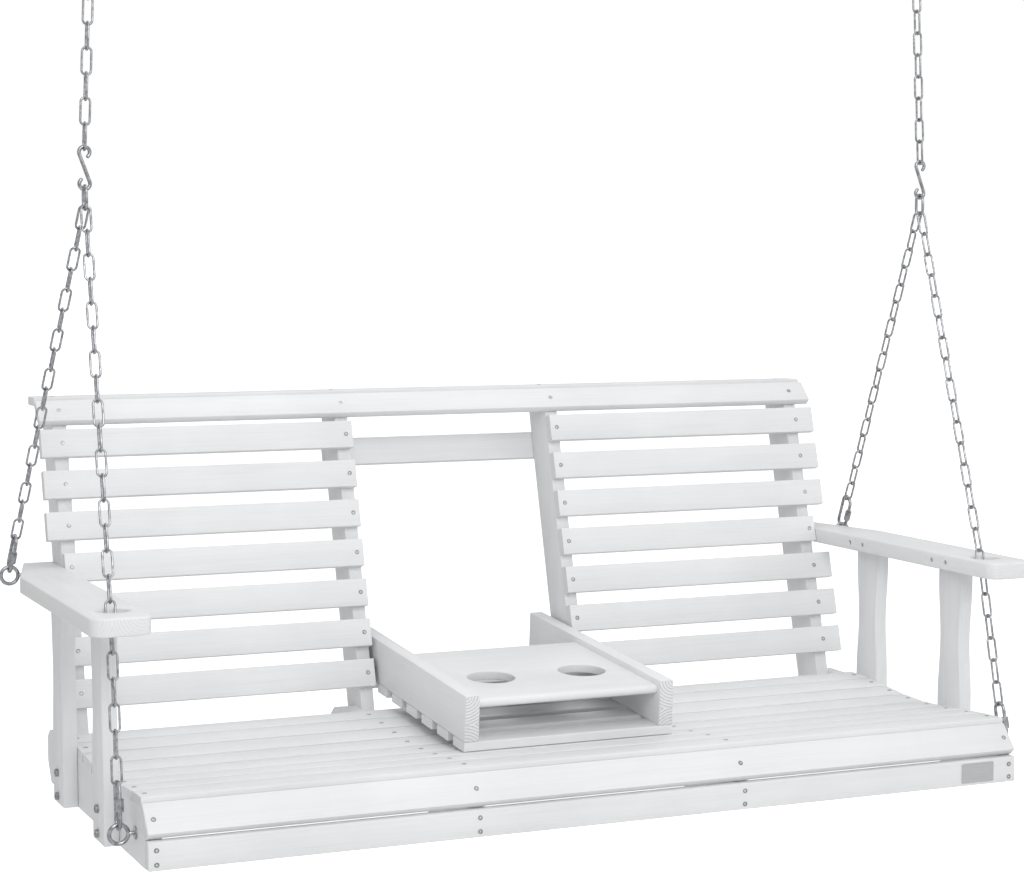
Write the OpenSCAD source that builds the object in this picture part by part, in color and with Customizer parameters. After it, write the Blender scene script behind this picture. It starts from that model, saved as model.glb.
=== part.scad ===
// Porch swing with a fold-down centre console, hung on chain.
// Bench frame: X to the right, Y to the back, Z up, zero at the foot of the apron's front face.
// Every module is drawn in the bench frame and set under the ceiling hooks by hung().

/* [Seat] */
// Length of the seat and of the back, end to end
seat_len = 1520; // [1300:10:1900]
// Height of the apron board
apron_h = 44; // [36:1:60]
// Thickness of the apron board
apron_t = 18; // [15:1:22]
// Distance from the apron's face to the seat's front edge
seat_front = 38; // [34:1:44]
// Number of seat slats
seat_slats = 8; // [7:1:9]
// Width of a seat slat
seat_slat_w = 57; // [48:1:58]
// Gap between two seat slats
seat_gap = 5.6; // [4:0.2:8]
// Thickness of a seat slat, the front slat, the rail and the cap
slat_t = 15; // [12:1:17]
// How far the seat's front edge lies above the apron's top edge
seat_rise = 59; // [54:1:66]
// How far the seat's surface dips in the middle
seat_dip = 13; // [6:1:18]
// Thickness of the supports, the back posts and the arm posts
frame_t = 25; // [22:1:30]

/* [Back] */
// Lean of the back from the vertical, in degrees
back_lean = 15; // [10:1:20]
// Gap between the seat's rear edge and the back's face, carried down to the frame's foot
back_set = 0.1; // [0:0.1:20]
// Distance along the back from the frame's foot to the lowest slat
back_start = 144.3; // [140:0.1:160]
// Number of slats in each half of the back
back_slats = 7; // [6:1:7]
// Width of a back slat
back_slat_w = 48.7; // [40:0.1:55]
// Distance from one back slat to the next
back_pitch = 71.8; // [66:0.1:74]
// Thickness of a back slat
back_slat_t = 18; // [15:1:20]
// Depth of a back post
post_d = 74.5; // [66:0.5:90]
// Width of the open middle of the back, between the inner posts
gap_w = 392; // [360:1:440]
// Width of the slanted top rail
rail_w = 47; // [40:1:56]
// Gap between the highest slat and the rail, along the back
rail_gap = 15.4; // [12:0.1:24]

/* [Arms] */
// Width of an arm board
arm_w = 94; // [80:1:110]
// Thickness of an arm board
arm_t = 28; // [22:1:32]
// Height of an arm's top above the frame's foot
arm_h = 371; // [340:1:420]
// Distance from the apron's face to the arm's front end
arm_front = 42; // [30:1:60]
// Radius of the arm's front corners
arm_corner_r = 24; // [10:1:34]
// Radius of the hole that lets the front chain through an arm
arm_hole_r = 25; // [20:1:28]
// Width of an arm post at its ends
arm_post_w = 72; // [60:1:90]
// How far an arm post is waisted on each side
arm_post_waist = 6.5; // [0:0.5:10]

/* [Console] */
// Side play between the console and the inner back posts
console_play = 6.7; // [4:0.1:10]
// Thickness of a console side board
side_t = 26; // [20:1:30]
// Length of the console behind its pivot
console_tail = 99; // [70:1:100]
// Thickness of a console slat
console_slat_t = 15.5; // [12:0.5:18]
// Depth of the table plate from its front to its rear edge
plate_len = 328; // [260:1:330]
// Thickness of the table plate
plate_t = 15; // [12:1:18]
// How far the table plate lies below the side boards' top edges
plate_drop = 9.6; // [6:0.2:14]
// Radius of a cup hole
cup_r = 41; // [34:0.5:44]
// Distance between the cup holes' centres
cup_span = 168.6; // [150:0.1:190]

/* [Chain] */
// Diameter of the chain's wire
wire_d = 3.8; // [3:0.1:4.5]
// Inside width of a chain link
link_in_w = 11; // [10.5:0.1:13]
// Links of a front strand, an odd number
front_links = 23; // [21:2:27]
// Links of a rear strand, an odd number
rear_links = 17; // [15:2:21]
// Links of an upper strand, an odd number
upper_links = 9; // [7:2:11]
// Diameter of the hooks' wire
hook_d = 6; // [5:0.5:6.5]
// Height of the joining links' lower bow above the frame's foot
joint_h = 972; // [900:1:1050]
// Height of the ceiling hooks' bows above the frame's foot
hang_h = 1410; // [1390:1:1440]
// Distance from the apron's face to the plane in which the swing hangs
hang_y = 325; // [300:1:360]

/* [Hardware] */
// Shank diameter of the wood screws
screw_d = 4; // [3:0.5:5]
// Head diameter of the wood screws
screw_head_d = 8; // [7:0.5:10]
// Diameter of the frame bolts, the pivot bolts and the ceiling hooks' shanks
bolt_d = 8; // [6:1:10]
// Wire diameter of the eye bolts
eye_d = 6.5; // [5:0.5:8]
// Mean radius of the eye bolts' rings
eye_r = 14.5; // [13.5:0.5:17]

/* [Hidden] */
$fn = 48;

LEFT = -1;
RIGHT = 1;
FRONT = 0;
REAR = 1;

// Clearances
fit = 0.05;       // round a screw, a bolt or a pin in its hole
loose = 0.3;      // between links that hang in each other, and under what rests on the seat
weld = 0.3;       // how far a straight length of wire runs into a bow
step = 0.04;      // how much thinner it is, so that it joins the bow cleanly

// Seat
half_len = seat_len / 2;
seat_pitch = seat_slat_w + seat_gap;
seat_rear = seat_front + seat_slats * seat_pitch - seat_gap;
front_angle = 49;             // slant of the front slat from the level
front_slat_w = 53;
front_slat_z = apron_h + 11.5; // height of its lower front edge
seat_h = apron_h + seat_rise;
support_end = seat_rear + 139;
support_heel_h = seat_h - 5;
outer_x = half_len - frame_t / 2;
back_outer_x = outer_x - frame_t;
back_inner_x = gap_w / 2 + frame_t / 2;
inner_x = back_inner_x + frame_t;
arm_post_x = outer_x + frame_t;
support_x = [-outer_x, -inner_x, inner_x, outer_x];
back_post_x = [-back_outer_x, -back_inner_x, back_inner_x, back_outer_x];

// Back: s runs up the face of the back, n goes in behind it
back_foot = seat_rear + back_set;
post_front_n = back_slat_t;
post_rear_n = back_slat_t + post_d;
rail_angle = 45;              // slant of the rail from the level
cap_w = 47;
post_foot_z = 4;
stop_bar_w = 50;
stop_bar_below_rail = 30;
short_slat = back_slats - 4;  // counted from the bottom, the one beside the arm
short_slat_play = 1;
back_top = back_start + (back_slats - 1) * back_pitch + back_slat_w;
rail_s = back_top + rail_gap;
rail_n = 2;

// Arms
arm_in = back_outer_x + frame_t / 2;
arm_z = arm_h - arm_t;
arm_mid_z = arm_h - arm_t / 2;
arm_len = post_edge_y(post_rear_n, arm_z) + 2 - arm_front;
arm_taper_start = arm_len - 175;  // along the arm, where its outer side starts to taper
arm_taper = 42;
arm_hole_y = 124;
arm_hole_x = arm_in + 43;
front_post_y = 205;
rear_post_y = seat_rear - 51.7;
tenon_h = 14;
tenon_in = 5;                 // shoulder of the tenon on every side
arm_bolt_z = [0.32 * apron_h, 1.2 * apron_h];
arm_screw_span = 44;
arm_screw_len = 56;
arm_screw_sink = 12;

// Console, in its own frame: zero on the pivot, Y to the rear, Z up from the boards
pivot_s = 182.5;
pivot_n = 37;
pivot_drop = 38;              // from the pivot to the slats' outer face
console_out = gap_w / 2 - console_play;
console_in = console_out - side_t;
console_clear = 0.8;          // from the console's end to the rail's inner edge as it passes
stop_play = 0.5;              // from the raised console to the stop bar
side_z = console_slat_t - pivot_drop;
side_top = post_rear_n - stop_play - pivot_n;
side_h = side_top - side_z;
rail_edge_s = rail_s - slat_t * cos(rail_angle + back_lean);
rail_edge_n = rail_n + slat_t * sin(rail_angle + back_lean);
console_swing = norm([rail_edge_s - pivot_s, rail_edge_n - pivot_n]) - console_clear;
console_front = sqrt(console_swing * console_swing - side_top * side_top);
plate_z = side_top - plate_drop - plate_t;
plate_front = -console_front + 9;
cup_y = -console_front + 143;
console_slat_count = 7;
pivot_y = back_y(pivot_s, pivot_n);
pivot_z = back_z(pivot_s, pivot_n);
rest_y = pivot_y - console_front;
console_reach = norm([console_front, pivot_drop]);
console_tilt = asin((pivot_z - seat_z(rest_y) - loose) / console_reach)
    - atan(pivot_drop / console_front);

// Hardware
nut_h = 6.5;
nut_r = 7.5;
washer_t = 2;
washer_r = 10;
screw_bite = 14;              // how far a screw goes into what is behind
head_t = 2.6;
plate_screw_z = plate_z + plate_t / 2;
blank_plate_size = [64, 34];
blank_plate_x = half_len - 76;

// Chain
wire_r = wire_d / 2;
hook_r = hook_d / 2;
link_r = (link_in_w + wire_d) / 2;
hang_x = half_len - 10;
joint_x = half_len + 4;
joint_d = 5;                  // wire diameter of a joining link
joint_r = 10.5;               // radius of its bows' wire centres
joint_len = 37;               // between the wire centres of a joining link's two bows
s_hook_r = 8.5;
s_hook_half = 24.5;
ceiling_hook_r = 16;
shank_len = 45;
quick_r = 12.5;
quick_len = 70;               // between the wire centres of a quick link's two bows
sleeve_len = 20;
sleeve_r = 6.2;
sleeve_travel = 10;
eye_out = eye_r + 11.5;       // from a washer's seat to the ring's centre
front_eye = [half_len + eye_out, 72, 43];
eye_flat = 4;                 // depth of the flat that seats a rear eye's washer
rear_eye_y = seat_rear + 141.8;
rear_eye_seat = arm_side(rear_eye_y) - eye_flat;
rear_eye = [rear_eye_seat + eye_out, rear_eye_y, arm_mid_z];
joint_top = joint_h + joint_len;
s_hook_low = joint_top - joint_d / 2 - hook_r - loose;
s_hook_top = s_hook_low + 2 * (s_hook_half + s_hook_r);
strand_split = 3;             // half the distance between the two strands in a joining link
strand_drop = joint_r - joint_d / 2 - wire_r - loose;

// --- Functions ---------------------------------------------------------------------------------

// The seat's surface: level at its edges and dipped between them
function seat_phase(y) = 360 * (y - seat_front) / (seat_rear - seat_front);
function seat_z(y) = seat_h - seat_dip / 2 * (1 - cos(seat_phase(y)));
function seat_slope(y) =
    atan(-seat_dip * PI / (seat_rear - seat_front) * sin(seat_phase(y)));
function slat_y(i) = seat_front + seat_slat_w / 2 + i * seat_pitch;

// A point of the back, from its place up the face and behind it
function back_y(s, n) = back_foot + s * sin(back_lean) + n * cos(back_lean);
function back_z(s, n) = s * cos(back_lean) - n * sin(back_lean);

// The outer side of an arm at a distance y from the apron's face
function arm_side(y) = arm_in + arm_w
    - arm_taper * max(0, y - arm_front - arm_taper_start) / (arm_len - arm_taper_start);

// Mirrors a point to one side of the swing
function to_side(p, side) = [side * p[0], p[1], p[2]];

function unit(v) = v / norm(v);
function strand_eye(end) = end == FRONT ? front_eye : rear_eye;

// The next point that pulls on an eye: the arm's hole in front, the joining link at the rear
arm_hole_point = [arm_hole_x, arm_hole_y + arm_hole_r - link_r - wire_r - 6, arm_mid_z];
function strand_top(end) = [
    joint_x,
    hang_y + (end == FRONT ? -strand_split : strand_split),
    joint_h + joint_r - sqrt(strand_drop * strand_drop - strand_split * strand_split),
];
function strand_aim(end) = end == FRONT ? arm_hole_point : strand_top(end);

// The wire at the top of an eye's ring, which a quick link hangs under
function eye_top(end) = strand_eye(end) + [0, 0, eye_r];
function quick_dir(end) = unit(strand_aim(end) - eye_top(end));

// Wire centres of a quick link's lower bow, of its upper bow, and of the chain's first bow in it
function quick_low(end) = eye_top(end) - quick_dir(end) * (eye_d / 2 + hook_r + loose);
function quick_top(end) = quick_low(end) + quick_dir(end) * quick_len;
function strand_low(end) = quick_top(end) - quick_dir(end) * (hook_r + wire_r + loose / 2);

// Contact points of a strand, evenly spaced along its one or two straight runs
function run_point(path, d) =
    let (first = norm(path[1] - path[0]))
    len(path) == 2 || d <= first
        ? path[0] + unit(path[1] - path[0]) * d
        : path[1] + unit(path[2] - path[1]) * (d - first);
function run_length(path) =
    norm(path[1] - path[0]) + (len(path) == 3 ? norm(path[2] - path[1]) : 0);
function strand_path(end) = end == FRONT
    ? [strand_low(end), arm_hole_point, strand_top(end)]
    : [strand_low(end), strand_top(end)];

// --- Frames and small parts --------------------------------------------------------------------

module hung() {
    translate([0, -hang_y, -hang_h]) children();
}

// Turns the Z axis along a direction and keeps the X axis as level as it was
module along(dir) {
    d = unit(dir);
    rotate([-asin(d[1]), atan2(d[0], d[2]), 0]) children();
}

// Draws an outline of the YZ plane as a board of a thickness, centred on x
module board(x, thickness) {
    translate([x - thickness / 2, 0, 0])
        rotate([90, 0, 90])
            linear_extrude(thickness) children();
}

// The frame of the back: X across, Y in behind the face, Z up along it
module on_back(s = 0, n = 0) {
    translate([0, back_y(s, n), back_z(s, n)]) rotate([-back_lean, 0, 0]) children();
}

// The frame of seat slat i: zero in the middle of its top face
module on_slat(i) {
    translate([0, slat_y(i), seat_z(slat_y(i))]) rotate([seat_slope(slat_y(i)), 0, 0]) children();
}

// The frame of the front slat: zero on its lower front edge, Y up its face, Z out of its face
module on_front_slat() {
    translate([0, 0, front_slat_z]) rotate([front_angle, 0, 0]) children();
}

// The frame of the top rail, laid as the front slat's
module on_rail() {
    translate([0, back_y(rail_s, rail_n), back_z(rail_s, rail_n)])
        rotate([rail_angle, 0, 0]) children();
}

// The frame of the console
module on_console() {
    translate([0, pivot_y, pivot_z]) rotate([console_tilt, 0, 0]) children();
}

// A wood screw whose head lies flush with z = 0, pointing down
module screw(length, play = 0) {
    translate([0, 0, -head_t]) cylinder(h = head_t + (play > 0 ? 1 : 0), d = screw_head_d + 2 * play);
    translate([0, 0, -length - play]) cylinder(h = length + play, d = screw_d + 2 * play);
}

// The screw itself, with a six-sided recess in its head
module set_screw(length) {
    difference() {
        screw(length);
        translate([0, 0, -1.4]) cylinder(h = 2, r = 1.8, $fn = 6);
    }
}

// A closed ring of wire in the XZ plane
module ring(radius, wire) {
    rotate([90, 0, 0]) rotate_extrude() translate([radius, 0]) circle(d = wire);
}

// A bow of wire in the XZ plane over an angle, from the +X side
module bow(radius, wire, start, sweep) {
    rotate([90, 0, 0])
        rotate([0, 0, start])
            rotate_extrude(angle = sweep) translate([radius, 0]) circle(d = wire);
}

// An oval link in the XZ plane, centred on zero; length runs between its bows' wire centres
module oval(length, radius, wire) {
    half = length / 2 - radius;
    for (side = [0, 180])
        rotate([0, side, 0]) {
            translate([0, 0, half]) bow(radius, wire, 0, 180);
            translate([radius, 0, -half - weld]) cylinder(h = 2 * (half + weld), d = wire - step);
        }
}

// A strand of links between the ends of a path, each turned a quarter from the last
module strand(path, count) {
    reach = run_length(path) - wire_d - loose;
    for (i = [0:count - 1]) {
        low = run_point(path, i * reach / count);
        high = run_point(path, (i + 1) * reach / count);
        span = norm(high - low) + wire_d + loose;
        translate(low)
            along(high - low)
                translate([0, 0, span / 2])
                    rotate([0, 0, i % 2 * 90]) oval(span, link_r, wire_d);
    }
}

module nut(thickness) {
    difference() {
        cylinder(h = thickness, r = nut_r, $fn = 6);
        translate([0, 0, -1]) cylinder(h = thickness + 2, d = bolt_d + 2 * fit);
    }
}

module washer(hole) {
    difference() {
        cylinder(h = washer_t, r = washer_r);
        translate([0, 0, -1]) cylinder(h = washer_t + 2, d = hole + 2 * fit);
    }
}

// --- Screw places ------------------------------------------------------------------------------

module apron_screws() {
    for (x = support_x)
        for (z = [0.21 * apron_h, 0.7 * apron_h])
            translate([x, 0, z]) rotate([90, 0, 0]) children();
}

module front_slat_screws() {
    for (x = support_x)
        on_front_slat() translate([x, front_slat_w * 0.46, 0]) children();
}

module seat_slat_screws(i) {
    for (x = support_x)
        on_slat(i) translate([x, 0, 0]) children();
}

module back_slat_screws(i) {
    for (x = back_post_x)
        on_back(back_start + i * back_pitch + back_slat_w / 2)
            translate([x, 0, 0]) rotate([90, 0, 0]) children();
}

module rail_screws() {
    for (x = back_post_x)
        on_rail() translate([x, rail_w / 2, 0]) children();
}

module cap_screws() {
    for (x = back_post_x)
        translate([x, cap_y() + cap_w * 0.55, cap_top()]) children();
}

module stop_bar_screws() {
    for (x = [-back_inner_x, back_inner_x])
        on_back(stop_bar_s() + stop_bar_w / 2, post_rear_n + back_slat_t)
            translate([x, 0, 0]) rotate([-90, 0, 0]) children();
}

// Bolts through the feet of the arm posts and the outer supports, heads outside
module arm_post_bolt_places() {
    for (side = [LEFT, RIGHT])
        for (y = [front_post_y, rear_post_y])
            for (z = arm_bolt_z)
                translate([side * (arm_post_x + frame_t / 2), y, z])
                    rotate([0, side * 90, 0]) children();
}

// Screws across the arms into the posts' tenons, from the arms' inner edges
module arm_screw_places() {
    for (side = [LEFT, RIGHT])
        for (y = [front_post_y, rear_post_y])
            for (shift = [-arm_screw_span / 2, arm_screw_span / 2])
                translate([side * arm_in, y + shift, arm_mid_z])
                    rotate([0, -side * 90, 0]) children();
}

// Eye bolts, with the Z axis pointing out of the frame at the washer's seat
module eye_places() {
    for (side = [LEFT, RIGHT]) {
        translate([side * half_len, front_eye[1], front_eye[2]])
            rotate([0, side * 90, 0]) children(0);
        translate([side * rear_eye_seat, rear_eye[1], rear_eye[2]])
            rotate([0, side * 90, 0]) children($children - 1);
    }
}

// --- Ceiling hooks and chain -------------------------------------------------------------------

module ceiling_hooks() {
    color("silver") hung()
        for (side = [LEFT, RIGHT])
            translate([side * hang_x, hang_y, hang_h + ceiling_hook_r]) {
                bow(ceiling_hook_r, bolt_d, 180, 270);
                translate([-ceiling_hook_r, 0, 0]) sphere(d = bolt_d);
                translate([0, 0, ceiling_hook_r - 2]) cylinder(h = 4, d = bolt_d);
                translate([0, 0, ceiling_hook_r]) cylinder(h = 5, r = bolt_d);
                translate([0, 0, ceiling_hook_r + 5]) cylinder(h = shank_len, d = bolt_d);
                translate([0, 0, ceiling_hook_r + 5 + shank_len])
                    cylinder(h = 5, d1 = bolt_d, d2 = 1);
            }
}

module upper_chain(side) {
    low = [side * joint_x, hang_y, s_hook_top - hook_r - wire_r - loose];
    high = [side * hang_x, hang_y, hang_h + bolt_d / 2 + wire_r + loose];
    color("silver") hung() strand_turned([low, high], upper_links);
}

// As strand, but its first link lies across the X axis
module strand_turned(path, count) {
    reach = run_length(path) - wire_d - loose;
    for (i = [0:count - 1]) {
        low = run_point(path, i * reach / count);
        span = reach / count + wire_d + loose;
        translate(low)
            along(path[1] - path[0])
                translate([0, 0, span / 2])
                    rotate([0, 0, (i + 1) % 2 * 90]) oval(span, link_r, wire_d);
    }
}

module upper_chain_left() {
    upper_chain(LEFT);
}

module upper_chain_right() {
    upper_chain(RIGHT);
}

s_slant = asin(s_hook_r / s_hook_half);
s_middle = sqrt(s_hook_half * s_hook_half - s_hook_r * s_hook_r);
s_tip = -50;

// One loop of an S, open on one side and cut off flat
module s_loop() {
    translate([0, 0, s_hook_half]) bow(s_hook_r, hook_d, s_tip, 180 + s_slant - s_tip);
}

module s_hooks() {
    color("silver") hung()
        for (side = [LEFT, RIGHT])
            translate([side * joint_x, hang_y, (s_hook_low + s_hook_top) / 2]) {
                for (turn = [0, 180]) rotate([0, turn, 0]) s_loop();
                rotate([0, -s_slant, 0])
                    cylinder(h = 2 * (s_middle + weld), d = hook_d - step, center = true);
            }
}

module joining_links() {
    color("silver") hung()
        for (side = [LEFT, RIGHT])
            translate([side * joint_x, hang_y, joint_h + joint_len / 2])
                rotate([0, 0, 90]) oval(joint_len, joint_r, joint_d);
}

module chain(side, end) {
    path = [for (p = strand_path(end)) to_side(p, side)];
    color("silver") hung() strand(path, end == FRONT ? front_links : rear_links);
}

module chain_front_left() {
    chain(LEFT, FRONT);
}

module chain_front_right() {
    chain(RIGHT, FRONT);
}

module chain_rear_left() {
    chain(LEFT, REAR);
}

module chain_rear_right() {
    chain(RIGHT, REAR);
}

// The frame of a quick link: zero midway, Z up the strand, X to the rear
module on_quick_link(side, end) {
    translate(to_side((quick_low(end) + quick_top(end)) / 2, side))
        along(to_side(quick_dir(end), side))
            rotate([0, 0, 90]) children();
}

module quick_links() {
    color("silver") hung()
        for (side = [LEFT, RIGHT])
            for (end = [FRONT, REAR])
                on_quick_link(side, end) oval(quick_len, quick_r, hook_d);
}

module sleeve(side, end) {
    color("gainsboro") hung()
        on_quick_link(side, end)
            translate([-quick_r, 0, -sleeve_len / 2])
                difference() {
                    intersection() {
                        cylinder(h = sleeve_len, r = sleeve_r, $fn = 6);
                        cylinder(h = sleeve_len, r = sleeve_r - 0.25);
                    }
                    translate([0, 0, -1]) cylinder(h = sleeve_len + 2, d = hook_d + 2 * fit);
                }
}

module sleeve_front_left() {
    sleeve(LEFT, FRONT);
}

module sleeve_front_right() {
    sleeve(RIGHT, FRONT);
}

module sleeve_rear_left() {
    sleeve(LEFT, REAR);
}

module sleeve_rear_right() {
    sleeve(RIGHT, REAR);
}

// --- Eye bolts ---------------------------------------------------------------------------------

front_grip = frame_t;
rear_grip = rear_eye_seat - arm_in + frame_t;

// An eye bolt, zero on the washer's seat, ring outside at +Z
module eye_bolt(grip) {
    translate([0, 0, eye_out]) ring(eye_r, eye_d);
    translate([0, 0, -grip - nut_h - 4])
        cylinder(h = grip + nut_h + 4 + eye_out - eye_r, d = eye_d);
}

module eye_bolts() {
    color("silver") hung()
        eye_places() {
            eye_bolt(front_grip);
            eye_bolt(rear_grip);
        }
}

module eye_washers() {
    color("gainsboro") hung() eye_places() washer(eye_d);
}

module eye_nut(grip) {
    translate([0, 0, -grip - nut_h])
        difference() {
            cylinder(h = nut_h, r = nut_r, $fn = 6);
            translate([0, 0, -1]) cylinder(h = nut_h + 2, d = eye_d + 2 * fit);
        }
}

module eye_nuts() {
    color("gainsboro") hung()
        eye_places() {
            eye_nut(front_grip);
            eye_nut(rear_grip);
        }
}

// The bores of the eye bolts, and the flats for the rear washers
module eye_bores() {
    eye_places() {
        translate([0, 0, -200]) cylinder(h = 210, d = eye_d + 2 * fit);
        translate([0, 0, -200]) cylinder(h = 210, d = eye_d + 2 * fit);
    }
}

// --- Seat --------------------------------------------------------------------------------------

module apron_board() {
    color("white") hung()
        difference() {
            translate([-half_len, 0, 0]) cube([seat_len, apron_t, apron_h]);
            apron_screws() screw(apron_t + 1, fit);
        }
}

module front_slat() {
    trim_y = seat_front - 1;
    color("white") hung()
        difference() {
            on_front_slat() translate([-half_len, 0, -slat_t]) cube([seat_len, front_slat_w, slat_t]);
            translate([-half_len - 1, trim_y, 0]) cube([seat_len + 2, 100, 200]);
            front_slat_screws() screw(slat_t + 1, fit);
        }
}

module seat_slat(i) {
    color("white") hung()
        difference() {
            on_slat(i) translate([-half_len, -seat_slat_w / 2, -slat_t])
                cube([seat_len, seat_slat_w, slat_t]);
            seat_slat_screws(i) screw(slat_t + 1, fit);
        }
}

module seat_slat_1() {
    seat_slat(0);
}

module seat_slat_2() {
    seat_slat(1);
}

module seat_slat_3() {
    seat_slat(2);
}

module seat_slat_4() {
    seat_slat(3);
}

module seat_slat_5() {
    seat_slat(4);
}

module seat_slat_6() {
    seat_slat(5);
}

module seat_slat_7() {
    seat_slat(6);
}

module seat_slat_8() {
    seat_slat(7);
}

// The two lower edges of seat slat i, in the YZ plane
function slat_foot(i) = [
    for (edge = [-1, 1])
        let (y = slat_y(i), a = seat_slope(y), w = edge * seat_slat_w / 2)
        [y + w * cos(a) + slat_t * sin(a), seat_z(y) + w * sin(a) - slat_t * cos(a)]
];

// The outline of a seat support, under the apron, the front slat and the seat slats
support_outline = concat(
    [
        [apron_t, 0],
        [apron_t, apron_h],
        [slat_t * sin(front_angle), front_slat_z - slat_t * cos(front_angle)],
        [
            seat_front - 1,
            front_slat_z - slat_t * cos(front_angle)
                + (seat_front - 1 - slat_t * sin(front_angle)) * tan(front_angle),
        ],
    ],
    [for (i = [0:seat_slats - 1]) each slat_foot(i)],
    [
        [seat_rear + 4, support_heel_h],
        [support_end - 60, support_heel_h],
        [support_end - 18, support_heel_h - 8],
        [support_end, support_heel_h - 22],
        [support_end, 0.35 * support_heel_h],
        [support_end - 24, 0],
    ]
);

module seat_support(x) {
    color("white") hung()
        difference() {
            board(x, frame_t) polygon(support_outline);
            apron_screws() screw(apron_t + screw_bite, fit);
            front_slat_screws() screw(slat_t + screw_bite, fit);
            for (i = [0:seat_slats - 1]) seat_slat_screws(i) screw(slat_t + screw_bite, fit);
            arm_post_bolt_places() post_bolt_bore();
            eye_bores();
        }
}

module seat_support_left_outer() {
    seat_support(-outer_x);
}

module seat_support_left_inner() {
    seat_support(-inner_x);
}

module seat_support_right_inner() {
    seat_support(inner_x);
}

module seat_support_right_outer() {
    seat_support(outer_x);
}

// --- Back --------------------------------------------------------------------------------------

// The rail's inner face ends, and the cap on the posts' level tops behind it
function rail_in_y(v) =
    back_y(rail_s, rail_n) + v * cos(rail_angle) + slat_t * sin(rail_angle);
function rail_in_z(v) =
    back_z(rail_s, rail_n) + v * sin(rail_angle) - slat_t * cos(rail_angle);
function post_top() = rail_in_z(rail_w);
function cap_y() = rail_in_y(rail_w) + 0.5;
function cap_top() = post_top() + slat_t;
function stop_bar_s() = rail_s - stop_bar_below_rail - stop_bar_w;

// Where the rail's inner plane meets the post's front face
function rail_foot_v() =
    let (
        dy = rail_in_y(0) - back_y(0, post_front_n),
        dz = rail_in_z(0) - back_z(0, post_front_n)
    )
    (dz * tan(back_lean) - dy) / (cos(rail_angle) - sin(rail_angle) * tan(back_lean));

function post_edge_y(n, z) = back_foot + z * tan(back_lean) + n / cos(back_lean);

post_outline = [
    [post_edge_y(post_front_n, post_foot_z), post_foot_z],
    [rail_in_y(rail_foot_v()), rail_in_z(rail_foot_v())],
    [rail_in_y(rail_w), post_top()],
    [post_edge_y(post_rear_n, post_top()), post_top()],
    [post_edge_y(post_rear_n, post_foot_z), post_foot_z],
];

module back_post(x) {
    color("white") hung()
        difference() {
            board(x, frame_t) polygon(post_outline);
            for (i = [0:back_slats - 1]) back_slat_screws(i) screw(back_slat_t + screw_bite, fit);
            rail_screws() screw(slat_t + screw_bite, fit);
            cap_screws() screw(slat_t + screw_bite, fit);
            stop_bar_screws() screw(back_slat_t + screw_bite, fit);
            eye_bores();
            pivot_bore();
        }
}

module pivot_bore() {
    translate([-half_len, pivot_y, pivot_z])
        rotate([0, 90, 0]) cylinder(h = seat_len, d = bolt_d + 2 * fit);
}

module back_post_left_outer() {
    back_post_plain(-back_outer_x);
}

module back_post_left_inner() {
    back_post(-back_inner_x);
}

module back_post_right_inner() {
    back_post(back_inner_x);
}

module back_post_right_outer() {
    back_post_plain(back_outer_x);
}

// An outer post has no pivot bore
module back_post_plain(x) {
    color("white") hung()
        difference() {
            board(x, frame_t) polygon(post_outline);
            for (i = [0:back_slats - 1]) back_slat_screws(i) screw(back_slat_t + screw_bite, fit);
            rail_screws() screw(slat_t + screw_bite, fit);
            cap_screws() screw(slat_t + screw_bite, fit);
            eye_bores();
        }
}

// One half of the back: separate slats, the one beside the arm cut short
module back_slat_half(side) {
    color("white") hung()
        for (i = [0:back_slats - 1]) {
            out = i == short_slat ? arm_in - short_slat_play : half_len;
            width = out - gap_w / 2;
            difference() {
                on_back(back_start + i * back_pitch)
                    translate([side > 0 ? gap_w / 2 : -out, 0, 0])
                        cube([width, back_slat_t, back_slat_w]);
                back_slat_screws(i) screw(back_slat_t + 1, fit);
            }
        }
}

module back_slats_left() {
    back_slat_half(LEFT);
}

module back_slats_right() {
    back_slat_half(RIGHT);
}

module top_rail() {
    color("white") hung()
        difference() {
            on_rail() translate([-half_len, 0, -slat_t]) cube([seat_len, rail_w, slat_t]);
            rail_screws() screw(slat_t + 1, fit);
        }
}

module rail_cap() {
    color("white") hung()
        difference() {
            translate([-half_len, cap_y(), post_top()]) cube([seat_len, cap_w, slat_t]);
            cap_screws() screw(slat_t + 1, fit);
        }
}

module stop_bar() {
    color("white") hung()
        difference() {
            on_back(stop_bar_s(), post_rear_n)
                translate([-gap_w / 2 - frame_t, 0, 0])
                    cube([gap_w + 2 * frame_t, back_slat_t, stop_bar_w]);
            stop_bar_screws() screw(back_slat_t + 1, fit);
        }
}

// --- Arms --------------------------------------------------------------------------------------

// The arm's outline in plan, from its inner side out
module arm_outline() {
    rear = arm_front + arm_len;
    difference() {
        union() {
            translate([arm_in, arm_front + arm_corner_r])
                square([arm_w, arm_taper_start - arm_corner_r]);
            translate([arm_in + arm_corner_r, arm_front])
                square([arm_w - 2 * arm_corner_r, arm_corner_r + 1]);
            for (x = [arm_in + arm_corner_r, arm_in + arm_w - arm_corner_r])
                translate([x, arm_front + arm_corner_r]) circle(arm_corner_r);
            polygon([
                [arm_in, arm_front + arm_taper_start - 1],
                [arm_in + arm_w, arm_front + arm_taper_start - 1],
                [arm_in + arm_w, arm_front + arm_taper_start],
                [arm_in + arm_w - arm_taper, rear],
                [arm_in, rear],
            ]);
        }
        translate([arm_hole_x, arm_hole_y]) circle(arm_hole_r);
    }
}

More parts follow.
